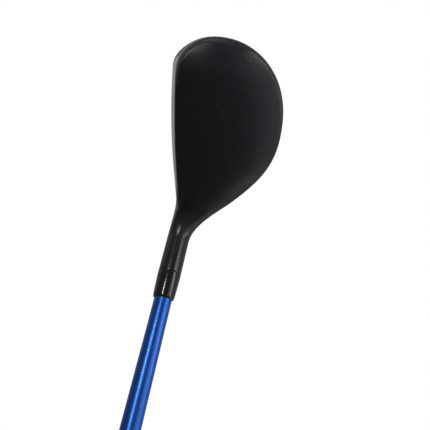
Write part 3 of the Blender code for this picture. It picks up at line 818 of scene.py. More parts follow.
class Finish:
    """A node material round one Principled shader."""

    def __init__(self, name):
        self.mat = bpy.data.materials.new(name)
        self.mat.use_nodes = True
        self.nodes = self.mat.node_tree.nodes
        self.links = self.mat.node_tree.links
        self.shader = self.nodes["Principled BSDF"]
        self.place = self.nodes.new("ShaderNodeTexCoord").outputs["Object"]

    def set(self, **values):
        """Sets sockets of the shader; underscores stand for spaces."""
        for key, value in values.items():
            self.shader.inputs[key.replace("_", " ")].default_value = value

    def join(self, output, socket):
        """Links an output to a socket of the shader."""
        self.links.new(output, self.shader.inputs[socket])

    def moved(self, turn=(0.0, 0.0, 0.0), scale=(1.0, 1.0, 1.0)):
        """Coordinates turned and stretched for a pattern."""
        node = self.nodes.new("ShaderNodeMapping")
        node.inputs["Rotation"].default_value = turn
        node.inputs["Scale"].default_value = scale
        self.links.new(self.place, node.inputs["Vector"])
        return node.outputs["Vector"]

    def noise(self, scale, detail=2.0, place=None):
        """Noise from 0 to 1."""
        node = self.nodes.new("ShaderNodeTexNoise")
        node.inputs["Scale"].default_value = scale
        node.inputs["Detail"].default_value = detail
        self.links.new(place or self.place, node.inputs["Vector"])
        return node.outputs["Fac"]

    def cells(self, scale):
        """Distance to the nearest cell point, and a random colour per cell."""
        node = self.nodes.new("ShaderNodeTexVoronoi")
        node.inputs["Scale"].default_value = scale
        self.links.new(self.place, node.inputs["Vector"])
        return node.outputs["Distance"], node.outputs["Color"]

    def spread(self, value, low, high, to_low=0.0, to_high=1.0):
        """Maps a range of a value to another range."""
        node = self.nodes.new("ShaderNodeMapRange")
        for key, number in zip(("From Min", "From Max", "To Min", "To Max"), (low, high, to_low, to_high)):
            node.inputs[key].default_value = number
        self.links.new(value, node.inputs["Value"])
        return node.outputs["Result"]

    def pair(self, operation, a, b):
        """Two values joined by a math operation."""
        node = self.nodes.new("ShaderNodeMath")
        node.operation = operation
        self.links.new(a, node.inputs[0])
        self.links.new(b, node.inputs[1])
        return node.outputs[0]

    def along(self, way):
        """Distance of a point along a direction."""
        node = self.nodes.new("ShaderNodeVectorMath")
        node.operation = "DOT_PRODUCT"
        node.inputs[1].default_value = way
        self.links.new(self.place, node.inputs[0])
        return node.outputs["Value"]

    def blend(self, share, first, second):
        """Mix of two colours, each an output or three numbers."""
        node = self.nodes.new("ShaderNodeMix")
        node.data_type = "RGBA"
        self.links.new(share, node.inputs["Factor"])
        for socket, colour in ((node.inputs[6], first), (node.inputs[7], second)):
            if isinstance(colour, bpy.types.NodeSocket):
                self.links.new(colour, socket)
            else:
                socket.default_value = (*colour, 1.0)
        return node.outputs[2]

    def bump(self, height, strength, distance, below=None):
        """Surface relief from a height, over an earlier relief."""
        node = self.nodes.new("ShaderNodeBump")
        node.inputs["Strength"].default_value = strength
        node.inputs["Distance"].default_value = distance
        self.links.new(height, node.inputs["Height"])
        if below is not None:
            self.links.new(below, node.inputs["Normal"])
        return node.outputs["Normal"]


def shade(colour, k):
    """A colour made darker or lighter."""
    return tuple(min(c * k, 1.0) for c in colour[:3])


def black_paint(f, colour):
    """Matte black paint with fine grain and a little dust; gives its colour."""
    cloud = f.noise(55.0, 3.0)
    distance, tint = f.cells(420.0)
    near = f.spread(distance, 0.06, 0.11, 1.0, 0.0)
    split = f.nodes.new("ShaderNodeSeparateColor")
    f.links.new(tint, split.inputs["Color"])
    some = f.spread(split.outputs["Red"], 0.5, 0.9)
    paint = f.blend(cloud, shade(colour, 0.85), shade(colour, 1.2))
    f.join(f.bump(f.noise(5200.0, 2.0), 0.004, 0.0002), "Normal")
    return f.blend(f.pair("MULTIPLY", near, some), paint, (0.13, 0.13, 0.125))


def crown_finish(colours):
    """Matte black paint of the crown."""
    f = Finish("matte_crown_paint")
    f.join(black_paint(f, colours.crown_black), "Base Color")
    f.join(f.spread(f.noise(240.0, 4.0), 0.3, 0.7, 0.31, 0.37), "Roughness")
    f.set(Specular_IOR_Level=0.42)
    return f.mat


def body_finish(colours):
    """The same paint over cast steel, which shows bare on the front frame and fades into the black through a
    dim brown band of painted shade; the hosel is dark metal.
    """
    f = Finish("satin_black_coat")
    start = GROUND.dot(S_DIR)
    hosel = f.spread(f.along(S_DIR), (start + HOSEL_FROM) * MM, (start + HOSEL_FULL) * MM)
    mark = f.nodes.new("ShaderNodeAttribute")
    mark.attribute_name = "bare_steel"
    bare = mark.outputs["Fac"]
    dark = f.blend(hosel, black_paint(f, colours.body_black), colours.hosel_black[:])
    # Between the bare steel and the black a dim warm brown is painted in: painted shade of the steel where
    # its surface turns away
    shaded_steel = f.blend(f.spread(bare, 0.0, 0.5), dark, colours.steel_shade_band[:])
    f.join(f.blend(f.spread(bare, 0.4, 1.0), shaded_steel, shade(colours.face_steel, 0.95)), "Base Color")
    f.join(f.pair("MAXIMUM", f.spread(bare, 0.2, 0.7), hosel), "Metallic")
    rough = f.spread(f.noise(310.0, 4.0), 0.3, 0.7, 0.3, 0.36)
    f.join(f.pair("SUBTRACT", rough, f.spread(hosel, 0.0, 1.0, 0.0, HOSEL_POLISH)), "Roughness")
    f.set(Specular_IOR_Level=0.45)
    return f.mat


def face_finish(colours):
    """Satin steel with fine lines from milling."""
    f = Finish("satin_face_steel")
    lines = f.noise(900.0, 2.0, f.moved(scale=(0.02, 1.0, 1.0)))
    cloud = f.noise(60.0, 3.0)
    steel = f.blend(cloud, shade(colours.face_steel, 0.9), shade(colours.face_steel, 1.06))
    f.join(f.blend(f.spread(lines, 0.35, 0.7), steel, shade(colours.face_steel, 0.78)), "Base Color")
    f.join(f.spread(lines, 0.3, 0.7, 0.36, 0.48), "Roughness")
    f.join(f.bump(lines, 0.18, 0.0002), "Normal")
    f.set(Metallic=1.0)
    return f.mat


def shaft_finish(colours):
    """Metallic blue paint with fine flake under a clear coat."""
    f = Finish("metallic_blue_paint")
    _, tint = f.cells(5200.0)
    split = f.nodes.new("ShaderNodeSeparateColor")
    f.links.new(tint, split.inputs["Color"])
    flake = f.spread(split.outputs["Green"], 0.0, 1.0)
    blue = f.blend(flake, shade(colours.shaft_blue, 0.92), shade(colours.shaft_blue, 1.1))
    f.join(blue, "Base Color")
    f.join(f.spread(f.noise(300.0, 3.0), 0.3, 0.7, 0.30, 0.36), "Roughness")
    f.join(f.bump(split.outputs["Blue"], 0.01, 0.0001), "Normal")
    f.set(Metallic=0.85, Coat_Weight=0.2, Coat_Roughness=0.1)
    return f.mat


def ferrule_finish(colours):
    """Polished black plastic with faint turning marks."""
    f = Finish("polished_ferrule_plastic")
    marks = f.noise(2600.0, 2.0, f.moved(turn=(0.0, LIE - math.pi / 2.0, 0.0), scale=(0.03, 0.03, 1.0)))
    cloud = f.noise(90.0, 2.0)
    f.join(f.blend(cloud, shade(colours.ferrule_black, 0.8), shade(colours.ferrule_black, 1.3)), "Base Color")
    f.join(f.spread(marks, 0.3, 0.7, 0.10, 0.13), "Roughness")
    f.join(f.bump(marks, 0.001, 0.0001), "Normal")
    f.set(Specular_IOR_Level=0.66)
    return f.mat


def grip_finish(name, colour, rough):
    """Moulded rubber with fine pores."""
    f = Finish(name)
    cloud = f.noise(120.0, 4.0)
    distance, _ = f.cells(1500.0)
    f.join(f.blend(cloud, shade(colour, 0.75), shade(colour, 1.35)), "Base Color")
    f.join(f.spread(f.noise(400.0, 3.0), 0.3, 0.7, rough - 0.05, rough + 0.08), "Roughness")
    relief = f.bump(f.spread(distance, 0.1, 0.45), 0.25, 0.0002)
    f.join(f.bump(f.noise(4200.0, 2.0), 0.12, 0.0001, relief), "Normal")
    f.set(Specular_IOR_Level=0.35)
    return f.mat


def metal_finish(name, colour, rough):
    """Machined metal with fine marks and small stains."""
    f = Finish(name)
    marks = f.noise(2200.0, 3.0, f.moved(scale=(0.2, 0.2, 1.0)))
    cloud = f.noise(260.0, 3.0)
    f.join(f.blend(cloud, shade(colour, 0.82), shade(colour, 1.14)), "Base Color")
    f.join(f.spread(marks, 0.3, 0.7, rough - 0.06, rough + 0.08), "Roughness")
    f.join(f.bump(marks, 0.06, 0.0001), "Normal")
    f.set(Metallic=1.0)
    return f.mat


def soft_finish(name, colour, rough, clear=0.0):
    """Glue, tape or soft ring: uneven colour and a dull, pitted surface."""
    f = Finish(name)
    cloud = f.noise(300.0, 4.0)
    f.join(f.blend(cloud, shade(colour, 0.7), shade(colour, 1.2)), "Base Color")
    f.join(f.spread(f.noise(700.0, 3.0), 0.3, 0.7, rough - 0.1, rough + 0.1), "Roughness")
    f.join(f.bump(f.noise(1800.0, 3.0), 0.2, 0.0002), "Normal")
    f.set(Transmission_Weight=clear)
    return f.mat


# Pieces

# Bare steel of the front frame: how squarely it faces forward, and where it ends
BARE_FROM = 0.67
BARE_LEAN = 0.009             # for each millimetre towards the toe it must face forward this much more
BARE_MOST = 0.86              # but never more than this
BARE_FADE = 0.18
BARE_END_X = 40.0
BARE_END_FADE = 14.0
BARE_TOE_X = -42.5
BARE_TOE_FADE = 11.0
# Where along the shaft axis the paint turns into the dark metal of the hosel
HOSEL_FROM = 30.0
HOSEL_FULL = 46.0
HOSEL_POLISH = 0.10           # the dark metal is this much less rough than the paint


# Cutters of the body: room under the crown and the face, and how far each cutter reaches
CAVITY_TOE = 1.4
CAVITY_HEEL = 6.0
SEAT_CLEAR = 0.12
SEAT_TOE = 1.6
SEAT_CUT = 1.9
WINDOW_CUT = 5.0
FACE_GAP = 0.04
FACE_PROUD = 2.0
FACE_PAST = 3.0


class CLUB_OT_head_shell(bpy.types.Operator):
    """Build the body of the head: sole, skirt, front frame, neck and hosel"""
    bl_idname = "club.head_shell"
    bl_label = "Head body"

    def execute(self, context):
        sizes, colours = context.scene.club_sizes, context.scene.club_finishes
        outline = crown_outline()
        gaps = [SEAM_SHUT + seam_share(*p) * sizes.seam_gap / MM for p in outline]
        shell = loft("head_shell", head_rings() + neck_rings(), (TOE_X, TOE_Y, TOE_Z))
        cavity_toe, cavity_heel = TOE_X + WALL + CAVITY_TOE, HEEL_X - CAVITY_HEEL
        cavity = loft("cavity", head_rings(FRONT_WALL, WALL, cavity_toe, cavity_heel, COARSE))
        seat_depth = CROWN_T + SEAT_CLEAR
        under = loft("under_seat", head_rings(seat_depth, seat_depth, TOE_X + SEAT_TOE, HEEL_X, COARSE))
        seat = crown_tool("crown_seat", outline, [-gap for gap in gaps], SEAT_CUT)
        cut(seat, [(under, "DIFFERENCE")])
        window = crown_tool("crown_window", outline, [CROWN_LEDGE] * OUTLINE_COUNT, WINDOW_CUT)
        face_seat = loft("face_seat", plate_rings(FACE_GAP, FACE_PROUD, FACE_T + SEAT_CLEAR))
        face_window = loft("face_window", plate_rings(-FACE_LEDGE, FACE_PROUD / 2.0, FRONT_WALL + FACE_PAST))
        place = port_place()
        boss_end = HOLE_END - PORT_BOSS
        boss = turned("port_boss", [(BOSS_R, -2.0), (BOSS_R, PORT_FLOOR - 1.0), (SCREW_R + 3.0, boss_end)],
                      place, 48, False)
        hole = turned("port_hole", [(PORT_R + 3.0, 3.0), (PORT_R + 0.35, 0.05), (PORT_R, -0.35),
                                    (PORT_R, PORT_FLOOR), (SCREW_R + FIT, PORT_FLOOR),
                                    (SCREW_R + FIT, HOLE_END)], place, 72, False)
        bore_floor = TIP_Z - PLUG_HEAD_T - 2 * SEAM
        bore = turned("hosel_bore", [(TIP_R + BOND, HOSEL_LENGTH + 5.0), (TIP_R + BOND, bore_floor)],
                      SHAFT_AXIS, 64, False)
        cut(shell, [(cavity, "DIFFERENCE"), (boss, "UNION"), (seat, "DIFFERENCE"), (window, "DIFFERENCE"),
                    (face_seat, "DIFFERENCE"), (face_window, "DIFFERENCE"), (hole, "DIFFERENCE"),
                    (bore, "DIFFERENCE")])
        finish_piece(shell, body_finish(colours), "club", ["head_body"])
        self.mark_bare_steel(shell.data)
        return {"FINISHED"}

    def mark_bare_steel(self, mesh):
        """Marks the front frame, which is left unpainted and fades into the paint at the topline; the body
        finish paints shade into that fading band.
        """
        mark = mesh.attributes.new("bare_steel", "FLOAT", "CORNER")
        front = Vector((0.0, -math.cos(LOFT), math.sin(LOFT)))
        values = []
        for loop, normal in zip(mesh.loops, mesh.corner_normals):
            x = mesh.vertices[loop.vertex_index].co.x / MM
            facing = (normal.vector.dot(front) - min(BARE_FROM - BARE_LEAN * x, BARE_MOST)) / BARE_FADE
            heel, toe = (BARE_END_X - x) / BARE_END_FADE, (x - BARE_TOE_X) / BARE_TOE_FADE
            values.append(min(max(min(facing, heel, toe), 0.0), 1.0))
        mark.data.foreach_set("value", values)


class CLUB_OT_crown_skin(bpy.types.Operator):
    """Build the crown: a thin skin with a rolled edge"""
    bl_idname = "club.crown_skin"
    bl_label = "Crown"

    def execute(self, context):
        sizes, colours = context.scene.club_sizes, context.scene.club_finishes
        outline = crown_outline()
        shares = [seam_share(*p) for p in outline]
        rounds = [SEAM_SHUT + EDGE_ROUND * share for share in shares]
        rings = [([0.25] * OUTLINE_COUNT, [CROWN_T] * OUTLINE_COUNT),
                 ([0.0] * OUTLINE_COUNT, [CROWN_T - 0.1] * OUTLINE_COUNT)]
        for degrees in (0.0, 22.5, 45.0, 67.5, 90.0):
            a = math.radians(degrees)
            insets = [r * (1.0 - math.cos(a)) for r in rounds]
            rings.append((insets, [r * (1.0 - math.sin(a)) for r in rounds]))
        for i in range(1, 15):
            rings.append(([r + sizes.edge_roll / MM * i / 11.0 for r in rounds], [0.0] * OUTLINE_COUNT))
        rolled = rolled_crown(outline, shares, sizes)
        bm = bmesh.new()
        rows = []
        for insets, drops in rings:
            row = []
            for p, drop in zip(moved_outline(outline, insets), drops):
                point, normal = rolled(p)
                row.append(bm.verts.new((point - normal * drop) * MM))
            rows.append(row)
        for low, high in zip(rows, rows[1:]):
            for i in range(OUTLINE_COUNT):
                j = (i + 1) % OUTLINE_COUNT
                bm.faces.new((low[i], low[j], high[j], high[i]))
        fill_patch(bm, moved_outline(outline, rings[-1][0]), rows[-1], 0.0, rolled)
        fill_patch(bm, moved_outline(outline, rings[0][0]), rows[0], CROWN_T, rolled)
        bmesh.ops.recalc_face_normals(bm, faces=bm.faces)
        crown = new_object("crown_skin", bm)
        finish_piece(crown, crown_finish(colours), "club", ["crown"], 60.0)
        return {"FINISHED"}


def fill_patch(bm, line, edge, drop, surface):
    """Fills a closed edge with a four-sided patch that lies on the crown surface."""
    side = 28
    long = OUTLINE_COUNT // 2 - side
    heel = min(range(OUTLINE_COUNT), key=lambda i: -line[i].x)
    start = heel + side // 2
    index = [(start + i) % OUTLINE_COUNT for i in range(OUTLINE_COUNT)]
    front = [index[i] for i in range(long + 1)]
    toe = [index[long + i] for i in range(side + 1)]
    back = [index[2 * long + side - i] for i in range(long + 1)]
    ends = [index[-i] for i in range(side + 1)]
    grid = []
    for i in range(long + 1):
        u = i / long
        row = []
        for j in range(side + 1):
            v = j / side
            if j == 0:
                row.append(edge[front[i]])
            elif j == side:
                row.append(edge[back[i]])
            elif i == 0:
                row.append(edge[ends[j]])
            elif i == long:
                row.append(edge[toe[j]])
            else:
                across = line[front[i]].lerp(line[back[i]], v)
                down = line[ends[j]].lerp(line[toe[j]], u)
                low = line[front[0]].lerp(line[front[long]], u)
                high = line[back[0]].lerp(line[back[long]], u)
                p = across + down - low.lerp(high, v)
                point, normal = surface(p)
                row.append(bm.verts.new((point - normal * drop) * MM))
        grid.append(row)
    for a, b in zip(grid, grid[1:]):
        for j in range(side):
            bm.faces.new((a[j], b[j], b[j + 1], a[j + 1]))


class CLUB_OT_face_insert(bpy.types.Operator):
    """Build the face insert with its score lines"""
    bl_idname = "club.face_insert"
    bl_label = "Face insert"

    def execute(self, context):
        sizes, colours = context.scene.club_sizes, context.scene.club_finishes
        plate = loft("face_insert", plate_rings(0.0, 0.0, FACE_T, sizes))
        finish_piece(plate, face_finish(colours), "club", ["face_plate"], 24.0)
        return {"FINISHED"}


class CLUB_OT_shaft_tube(bpy.types.Operator):
    """Build the tapered shaft"""
    bl_idname = "club.shaft_tube"
    bl_label = "Shaft"

    def execute(self, context):
        colours = context.scene.club_finishes
        low_bore = TIP_R - SHAFT_WALL
        mouth_bore = shaft_radius(GRIP_Z) - SHAFT_WALL * 0.7
        profile = [(BUTT_R - 0.3, BUTT_Z), (BUTT_R, BUTT_Z - 0.3)]
        for i in range(1, 24):
            z = BUTT_Z + (PARALLEL_Z - BUTT_Z) * i / 24.0
            profile.append((shaft_radius(z), z))
        profile += [(TIP_R, PARALLEL_Z), (TIP_R, HOSEL_LENGTH), (TIP_R, TIP_Z + 0.4), (TIP_R - 0.3, TIP_Z),
                    (low_bore, TIP_Z), (low_bore, PARALLEL_Z), (mouth_bore, GRIP_Z),
                    (BUTT_R - SHAFT_WALL * 0.6, BUTT_Z)]
        shaft = turned("shaft_tube", profile, SHAFT_AXIS)
        finish_piece(shaft, shaft_finish(colours), "club", ["shaft"])
        return {"FINISHED"}


class CLUB_OT_ferrule_sleeve(bpy.types.Operator):
    """Build the ferrule with its swelling side and rounded end"""
    bl_idname = "club.ferrule_sleeve"
    bl_label = "Ferrule"

    def execute(self, context):
        colours = context.scene.club_finishes
        low, top = HOSEL_LENGTH + FERRULE_GAP, HOSEL_LENGTH + FERRULE_LENGTH
        wide, end = HOSEL_R + 0.05, FERRULE_END_D / 2.0
        bore = TIP_R + BOND
        roll_w, roll_h = end - bore - 0.15, 1.6
        profile = []
        for i in range(13):
            a = math.radians(7.5 * i)
            profile.append((end - roll_w + roll_w * math.sin(a), top - roll_h + roll_h * math.cos(a)))
        for i in range(1, 25):
            u = i / 24.0
            swell = 1.0 - (1.0 - u) ** 1.5
            profile.append((end + (wide - end) * swell, top - roll_h + (low + 0.12 - top + roll_h) * u))
        profile += [(wide - 0.03, low + 0.04), (wide - 0.12, low), (bore, low), (bore, top)]
        ferrule = turned("ferrule_sleeve", profile, SHAFT_AXIS)
        finish_piece(ferrule, ferrule_finish(colours), "club", ["ferrule"], 50.0)
        return {"FINISHED"}


# Grip: rows and points of its mesh, where tape and groove run, and the groove as shares of its pitch
GRIP_ROWS = 420
GRIP_STEPS = 80
MOUTH_BEAD = 6.0
BUTT_FLARE = 0.18             # share of the taper that comes only near the butt
TAPE_FROM = 8.0
WRAP_FROM = 12.0
WRAP_TO = 8.0
WRAP_FADE = 4.0
GROOVE_WIDTH = 0.045
GROOVE_STEP = 0.35


class CLUB_OT_grip_sleeve(bpy.types.Operator):
    """Build the rubber grip with its spiral groove, and its end cap"""
    bl_idname = "club.grip_sleeve"
    bl_label = "Grip and cap"

    def execute(self, context):
        sizes, colours = context.scene.club_sizes, context.scene.club_finishes
        self.build_sleeve(sizes, colours)
        self.build_cap(colours)
        return {"FINISHED"}

    def build_sleeve(self, sizes, colours):
        """Sleeve: a turned form whose outer rings are pressed in along a spiral."""
        mouth, butt = GRIP_MOUTH_D / 2.0, GRIP_BUTT_D / 2.0
        end = CLUB_LENGTH - CAP_T - SEAM * 0.5
        tape_z = GRIP_Z + TAPE_FROM
        pitch, depth = sizes.wrap_pitch / MM, sizes.wrap_depth / MM
        start, stop = GRIP_Z + WRAP_FROM, end - WRAP_TO
        inner = [(shaft_radius(GRIP_Z) + 0.25, GRIP_Z), (shaft_radius(tape_z) + 0.25, tape_z - SEAM),
                 (shaft_radius(tape_z) + 2 * TAPE_GAP + TAPE_T, tape_z - SEAM),
                 (shaft_radius(end) + 2 * TAPE_GAP + TAPE_T, end)]
        outer = [(mouth - 0.2, GRIP_Z), (mouth + 0.25, GRIP_Z + 0.25), (mouth + 0.5, GRIP_Z + 1.0),
                 (mouth + 0.5, GRIP_Z + 4.6), (mouth + 0.3, GRIP_Z + 5.4), (mouth, GRIP_Z + MOUTH_BEAD)]
        for i in range(1, GRIP_ROWS + 1):
            u = i / GRIP_ROWS
            taper = (1.0 - BUTT_FLARE) * u + BUTT_FLARE * u ** 6
            height = GRIP_Z + MOUTH_BEAD + (end - GRIP_Z - MOUTH_BEAD) * u
            outer.append((mouth + (butt - mouth) * taper, height))
        profile = list(reversed(inner)) + outer
        bm = bmesh.new()
        rows = []
        for number, (r, z) in enumerate(profile):
            ramp = 0.0
            if number >= len(inner):
                ramp = min(max(min(z - start, stop - z) / WRAP_FADE, 0.0), 1.0)
            row = []
            for i in range(GRIP_STEPS):
                turn = i / GRIP_STEPS
                at = (z / pitch - turn) % 1.0
                groove = math.exp(-((at - 0.5) / GROOVE_WIDTH) ** 2) + GROOVE_STEP * max(at - 0.5, 0.0)
                radius = r - depth * ramp * groove
                a = 2.0 * math.pi * turn
                row.append(bm.verts.new((radius * math.cos(a) * MM, radius * math.sin(a) * MM, z * MM)))
            rows.append(row)
        for low, high in zip(rows, rows[1:] + rows[:1]):
            for i in range(GRIP_STEPS):
                j = (i + 1) % GRIP_STEPS
                bm.faces.new((low[i], low[j], high[j], high[i]))
        bmesh.ops.recalc_face_normals(bm, faces=bm.faces)
        grip = new_object("grip_sleeve", bm)
        settle(grip, SHAFT_AXIS)
        finish_piece(grip, grip_finish("grip_rubber_pores", colours.grip_black, 0.62), "club",
                     ["grip"], 60.0)

    def build_cap(self, colours):
        """Cap: domed edge, shallow ring groove and vent hole."""
        vent, butt = VENT_D / 2.0, GRIP_BUTT_D / 2.0
        low, top = CLUB_LENGTH - CAP_T + SEAM * 0.5, CLUB_LENGTH
        profile = [(vent, low), (vent, top - 0.4), (vent + 0.4, top), (6.2, top), (6.5, top - 0.35),
                   (7.1, top - 0.35), (7.4, top), (butt - 2.4, top)]
        for i in range(1, 9):
            a = math.radians(11.25 * i)
            profile.append((butt - 2.4 + 2.4 * math.sin(a), top - 1.9 + 1.9 * math.cos(a)))
        profile.append((butt, low))
        cap = turned("grip_end_cap", profile, SHAFT_AXIS)
        finish_piece(cap, grip_finish("cap_rubber_pores", shade(colours.grip_black, 1.2), 0.55), "club",
                     ["grip_cap"], 40.0)


class CLUB_OT_sole_weight(bpy.types.Operator):
    """Build the sole weight and its screw"""
    bl_idname = "club.sole_weight"
    bl_label = "Sole weight"

    def execute(self, context):
        sizes, colours = context.scene.club_sizes, context.scene.club_finishes
        place = port_place()
        sink = WEIGHT_TOP - SCREW_HEAD_T - 2 * FIT
        ring = [(WEIGHT_R - 0.7, WEIGHT_TOP), (WEIGHT_R - 0.3, WEIGHT_TOP - 0.12),
                (WEIGHT_R, WEIGHT_TOP - 0.6), (WEIGHT_R, WEIGHT_LOW + 0.3), (WEIGHT_R - 0.3, WEIGHT_LOW),
                (SCREW_R + FIT, WEIGHT_LOW), (SCREW_R + FIT, sink), (HEAD_R + FIT, sink),
                (HEAD_R + FIT, WEIGHT_TOP - 0.3),
                (HEAD_R + FIT + 0.3, WEIGHT_TOP), (5.4, WEIGHT_TOP), (5.6, WEIGHT_TOP - 0.2),
                (5.9, WEIGHT_TOP - 0.2), (6.1, WEIGHT_TOP)]
        weight = turned("port_weight", ring, place)
        finish_piece(weight, metal_finish("sintered_tungsten", colours.weight_grey, 0.36), "weight_carrier",
                     ["sole_weight"])
        self.build_screw(sizes, colours, place)
        return {"FINISHED"}

    def build_screw(self, sizes, colours, place):
        """Screw: turned head with a hexagon socket, and a cut thread."""
        top, end = WEIGHT_TOP - FIT, PORT_FLOOR - SCREW_REACH
        under = top - SCREW_HEAD_T
        pitch, depth = sizes.thread_pitch / MM, sizes.thread_depth / MM
        profile = [(HEAD_R - 0.35, top), (HEAD_R - 0.1, top - 0.1), (HEAD_R, top - 0.4),
                   (HEAD_R, under + 0.15), (HEAD_R - 0.15, under), (SCREW_R + 0.2, under),
                   (SCREW_R, under - 0.2)]
        for i in range(1, THREAD_ROWS + 1):
            profile.append((SCREW_R, under - 0.2 + (end - under + 0.2) * i / THREAD_ROWS))
        screw = turned("port_screw", profile, Matrix.Identity(4), 48, False)
        first = PORT_FLOOR + 0.9
        for vert in screw.data.vertices:
            z = vert.co.z / MM
            r = math.hypot(vert.co.x, vert.co.y) / MM
            if z < under - 0.3 and r > SCREW_R - 0.01:
                turn = math.atan2(vert.co.y, vert.co.x) / (2.0 * math.pi)
                wave = abs(((z / pitch - turn) % 1.0) * 2.0 - 1.0)
                fade = min(max((first - z) / 0.6, 0.0), 1.0)
                point = min(max((end + 0.7 - z) / 0.7, 0.0), 1.0)
                k = (SCREW_R - depth * wave * fade - 0.5 * point) / r
                vert.co.x *= k
                vert.co.y *= k
        socket_r = SOCKET_D / 2.0
        socket_profile = [(socket_r + 1.0, top + 0.8), (socket_r + 0.2, top), (socket_r, top - 0.2),
                          (socket_r, top - 1.6)]
        socket = turned("screw_socket", socket_profile, Matrix.Identity(4), 6, False)
        cut(screw, [(socket, "DIFFERENCE")])
        settle(screw, place)
        steel = metal_finish("oiled_screw_steel", colours.screw_dark, 0.34)
        finish_piece(screw, steel, "screw", ["weight_screw"])


class CLUB_OT_inner_pieces(bpy.types.Operator):
    """Give the pieces inside the club their finishes"""
    bl_idname = "club.inner_pieces"
    bl_label = "Inner pieces"

    def execute(self, context):
        finishes = {
            "screw_clip": metal_finish("spring_steel", (0.5, 0.5, 0.5), 0.3),
            "weight_gasket": soft_finish("soft_ring_rubber", (0.02, 0.02, 0.021), 0.75),
            "hot_melt": soft_finish("amber_hot_melt", (0.5, 0.33, 0.12), 0.4, 0.2),
            "tip_weight": metal_finish("turned_brass", (0.6, 0.42, 0.17), 0.3),
            "grip_tape": soft_finish("paper_tape", (0.58, 0.47, 0.31), 0.8),
        }
        for node, mat in finishes.items():
            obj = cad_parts[node]
            obj.data.materials.clear()
            obj.data.materials.append(mat)
        return {"FINISHED"}


# Stage

PHOTO_FRAME = 430.0           # the picture is square
FOCAL = 380.0                 # in the same units
SENSOR = 36.0
CAMERA_AT = Vector((-0.06321, 0.04441, 0.20665))
CAMERA_RIGHT = Vector((-0.02699, 0.97959, -0.19921))
CAMERA_UP = Vector((-0.85706, -0.12524, -0.49977))
CAMERA_BACK = Vector((-0.51451, 0.15725, 0.84294))
LIT_POINT = Vector((0.07, -0.004, 0.055))      # the ferrule, which the large lights face
TOE_POINT = Vector((-0.042, 0.0, 0.025))       # the crown's edge at the front of the toe
BACK_POINT = Vector((-0.036, 0.027, 0.024))    # and at the back of the toe
# Lights: name, setting of the power, what it faces, azimuth, height, distance, width and length
LIGHTS = (
    ("toe_strip", "strip_power", LIT_POINT, 187.0, 29.8, 1.1, (0.10, 0.34)),
    ("toe_glint", "glint_power", TOE_POINT, 180.0, 14.0, 0.05, (0.02, 0.01)),
    ("back_glint", "back_glint_power", BACK_POINT, 128.0, 2.0, 0.05, (0.028, 0.005)),
    ("back_panel", "panel_power", LIT_POINT, 106.0, -1.0, 0.55, (0.5, 0.10)),
    ("backdrop", "backdrop_power", LIT_POINT, 91.0, 14.0, 1.0, (1.5, 0.5)),
    ("heel_panel", "heel_power", LIT_POINT, 43.0, 5.0, 1.0, (0.5, 0.22)),
)
COOL_LIGHTS = ("backdrop", "heel_panel")
CLIP_START = 0.005
FLOOR_SIZE = 8.0
FLOOR_GREY = (0.6, 0.6, 0.6)  # of the floor as other surfaces see it
FLOOR_Z = -0.0002             # just clear of the flat of the sole
FLOOR_GLOW = 0.18             # what the floor adds to reflections


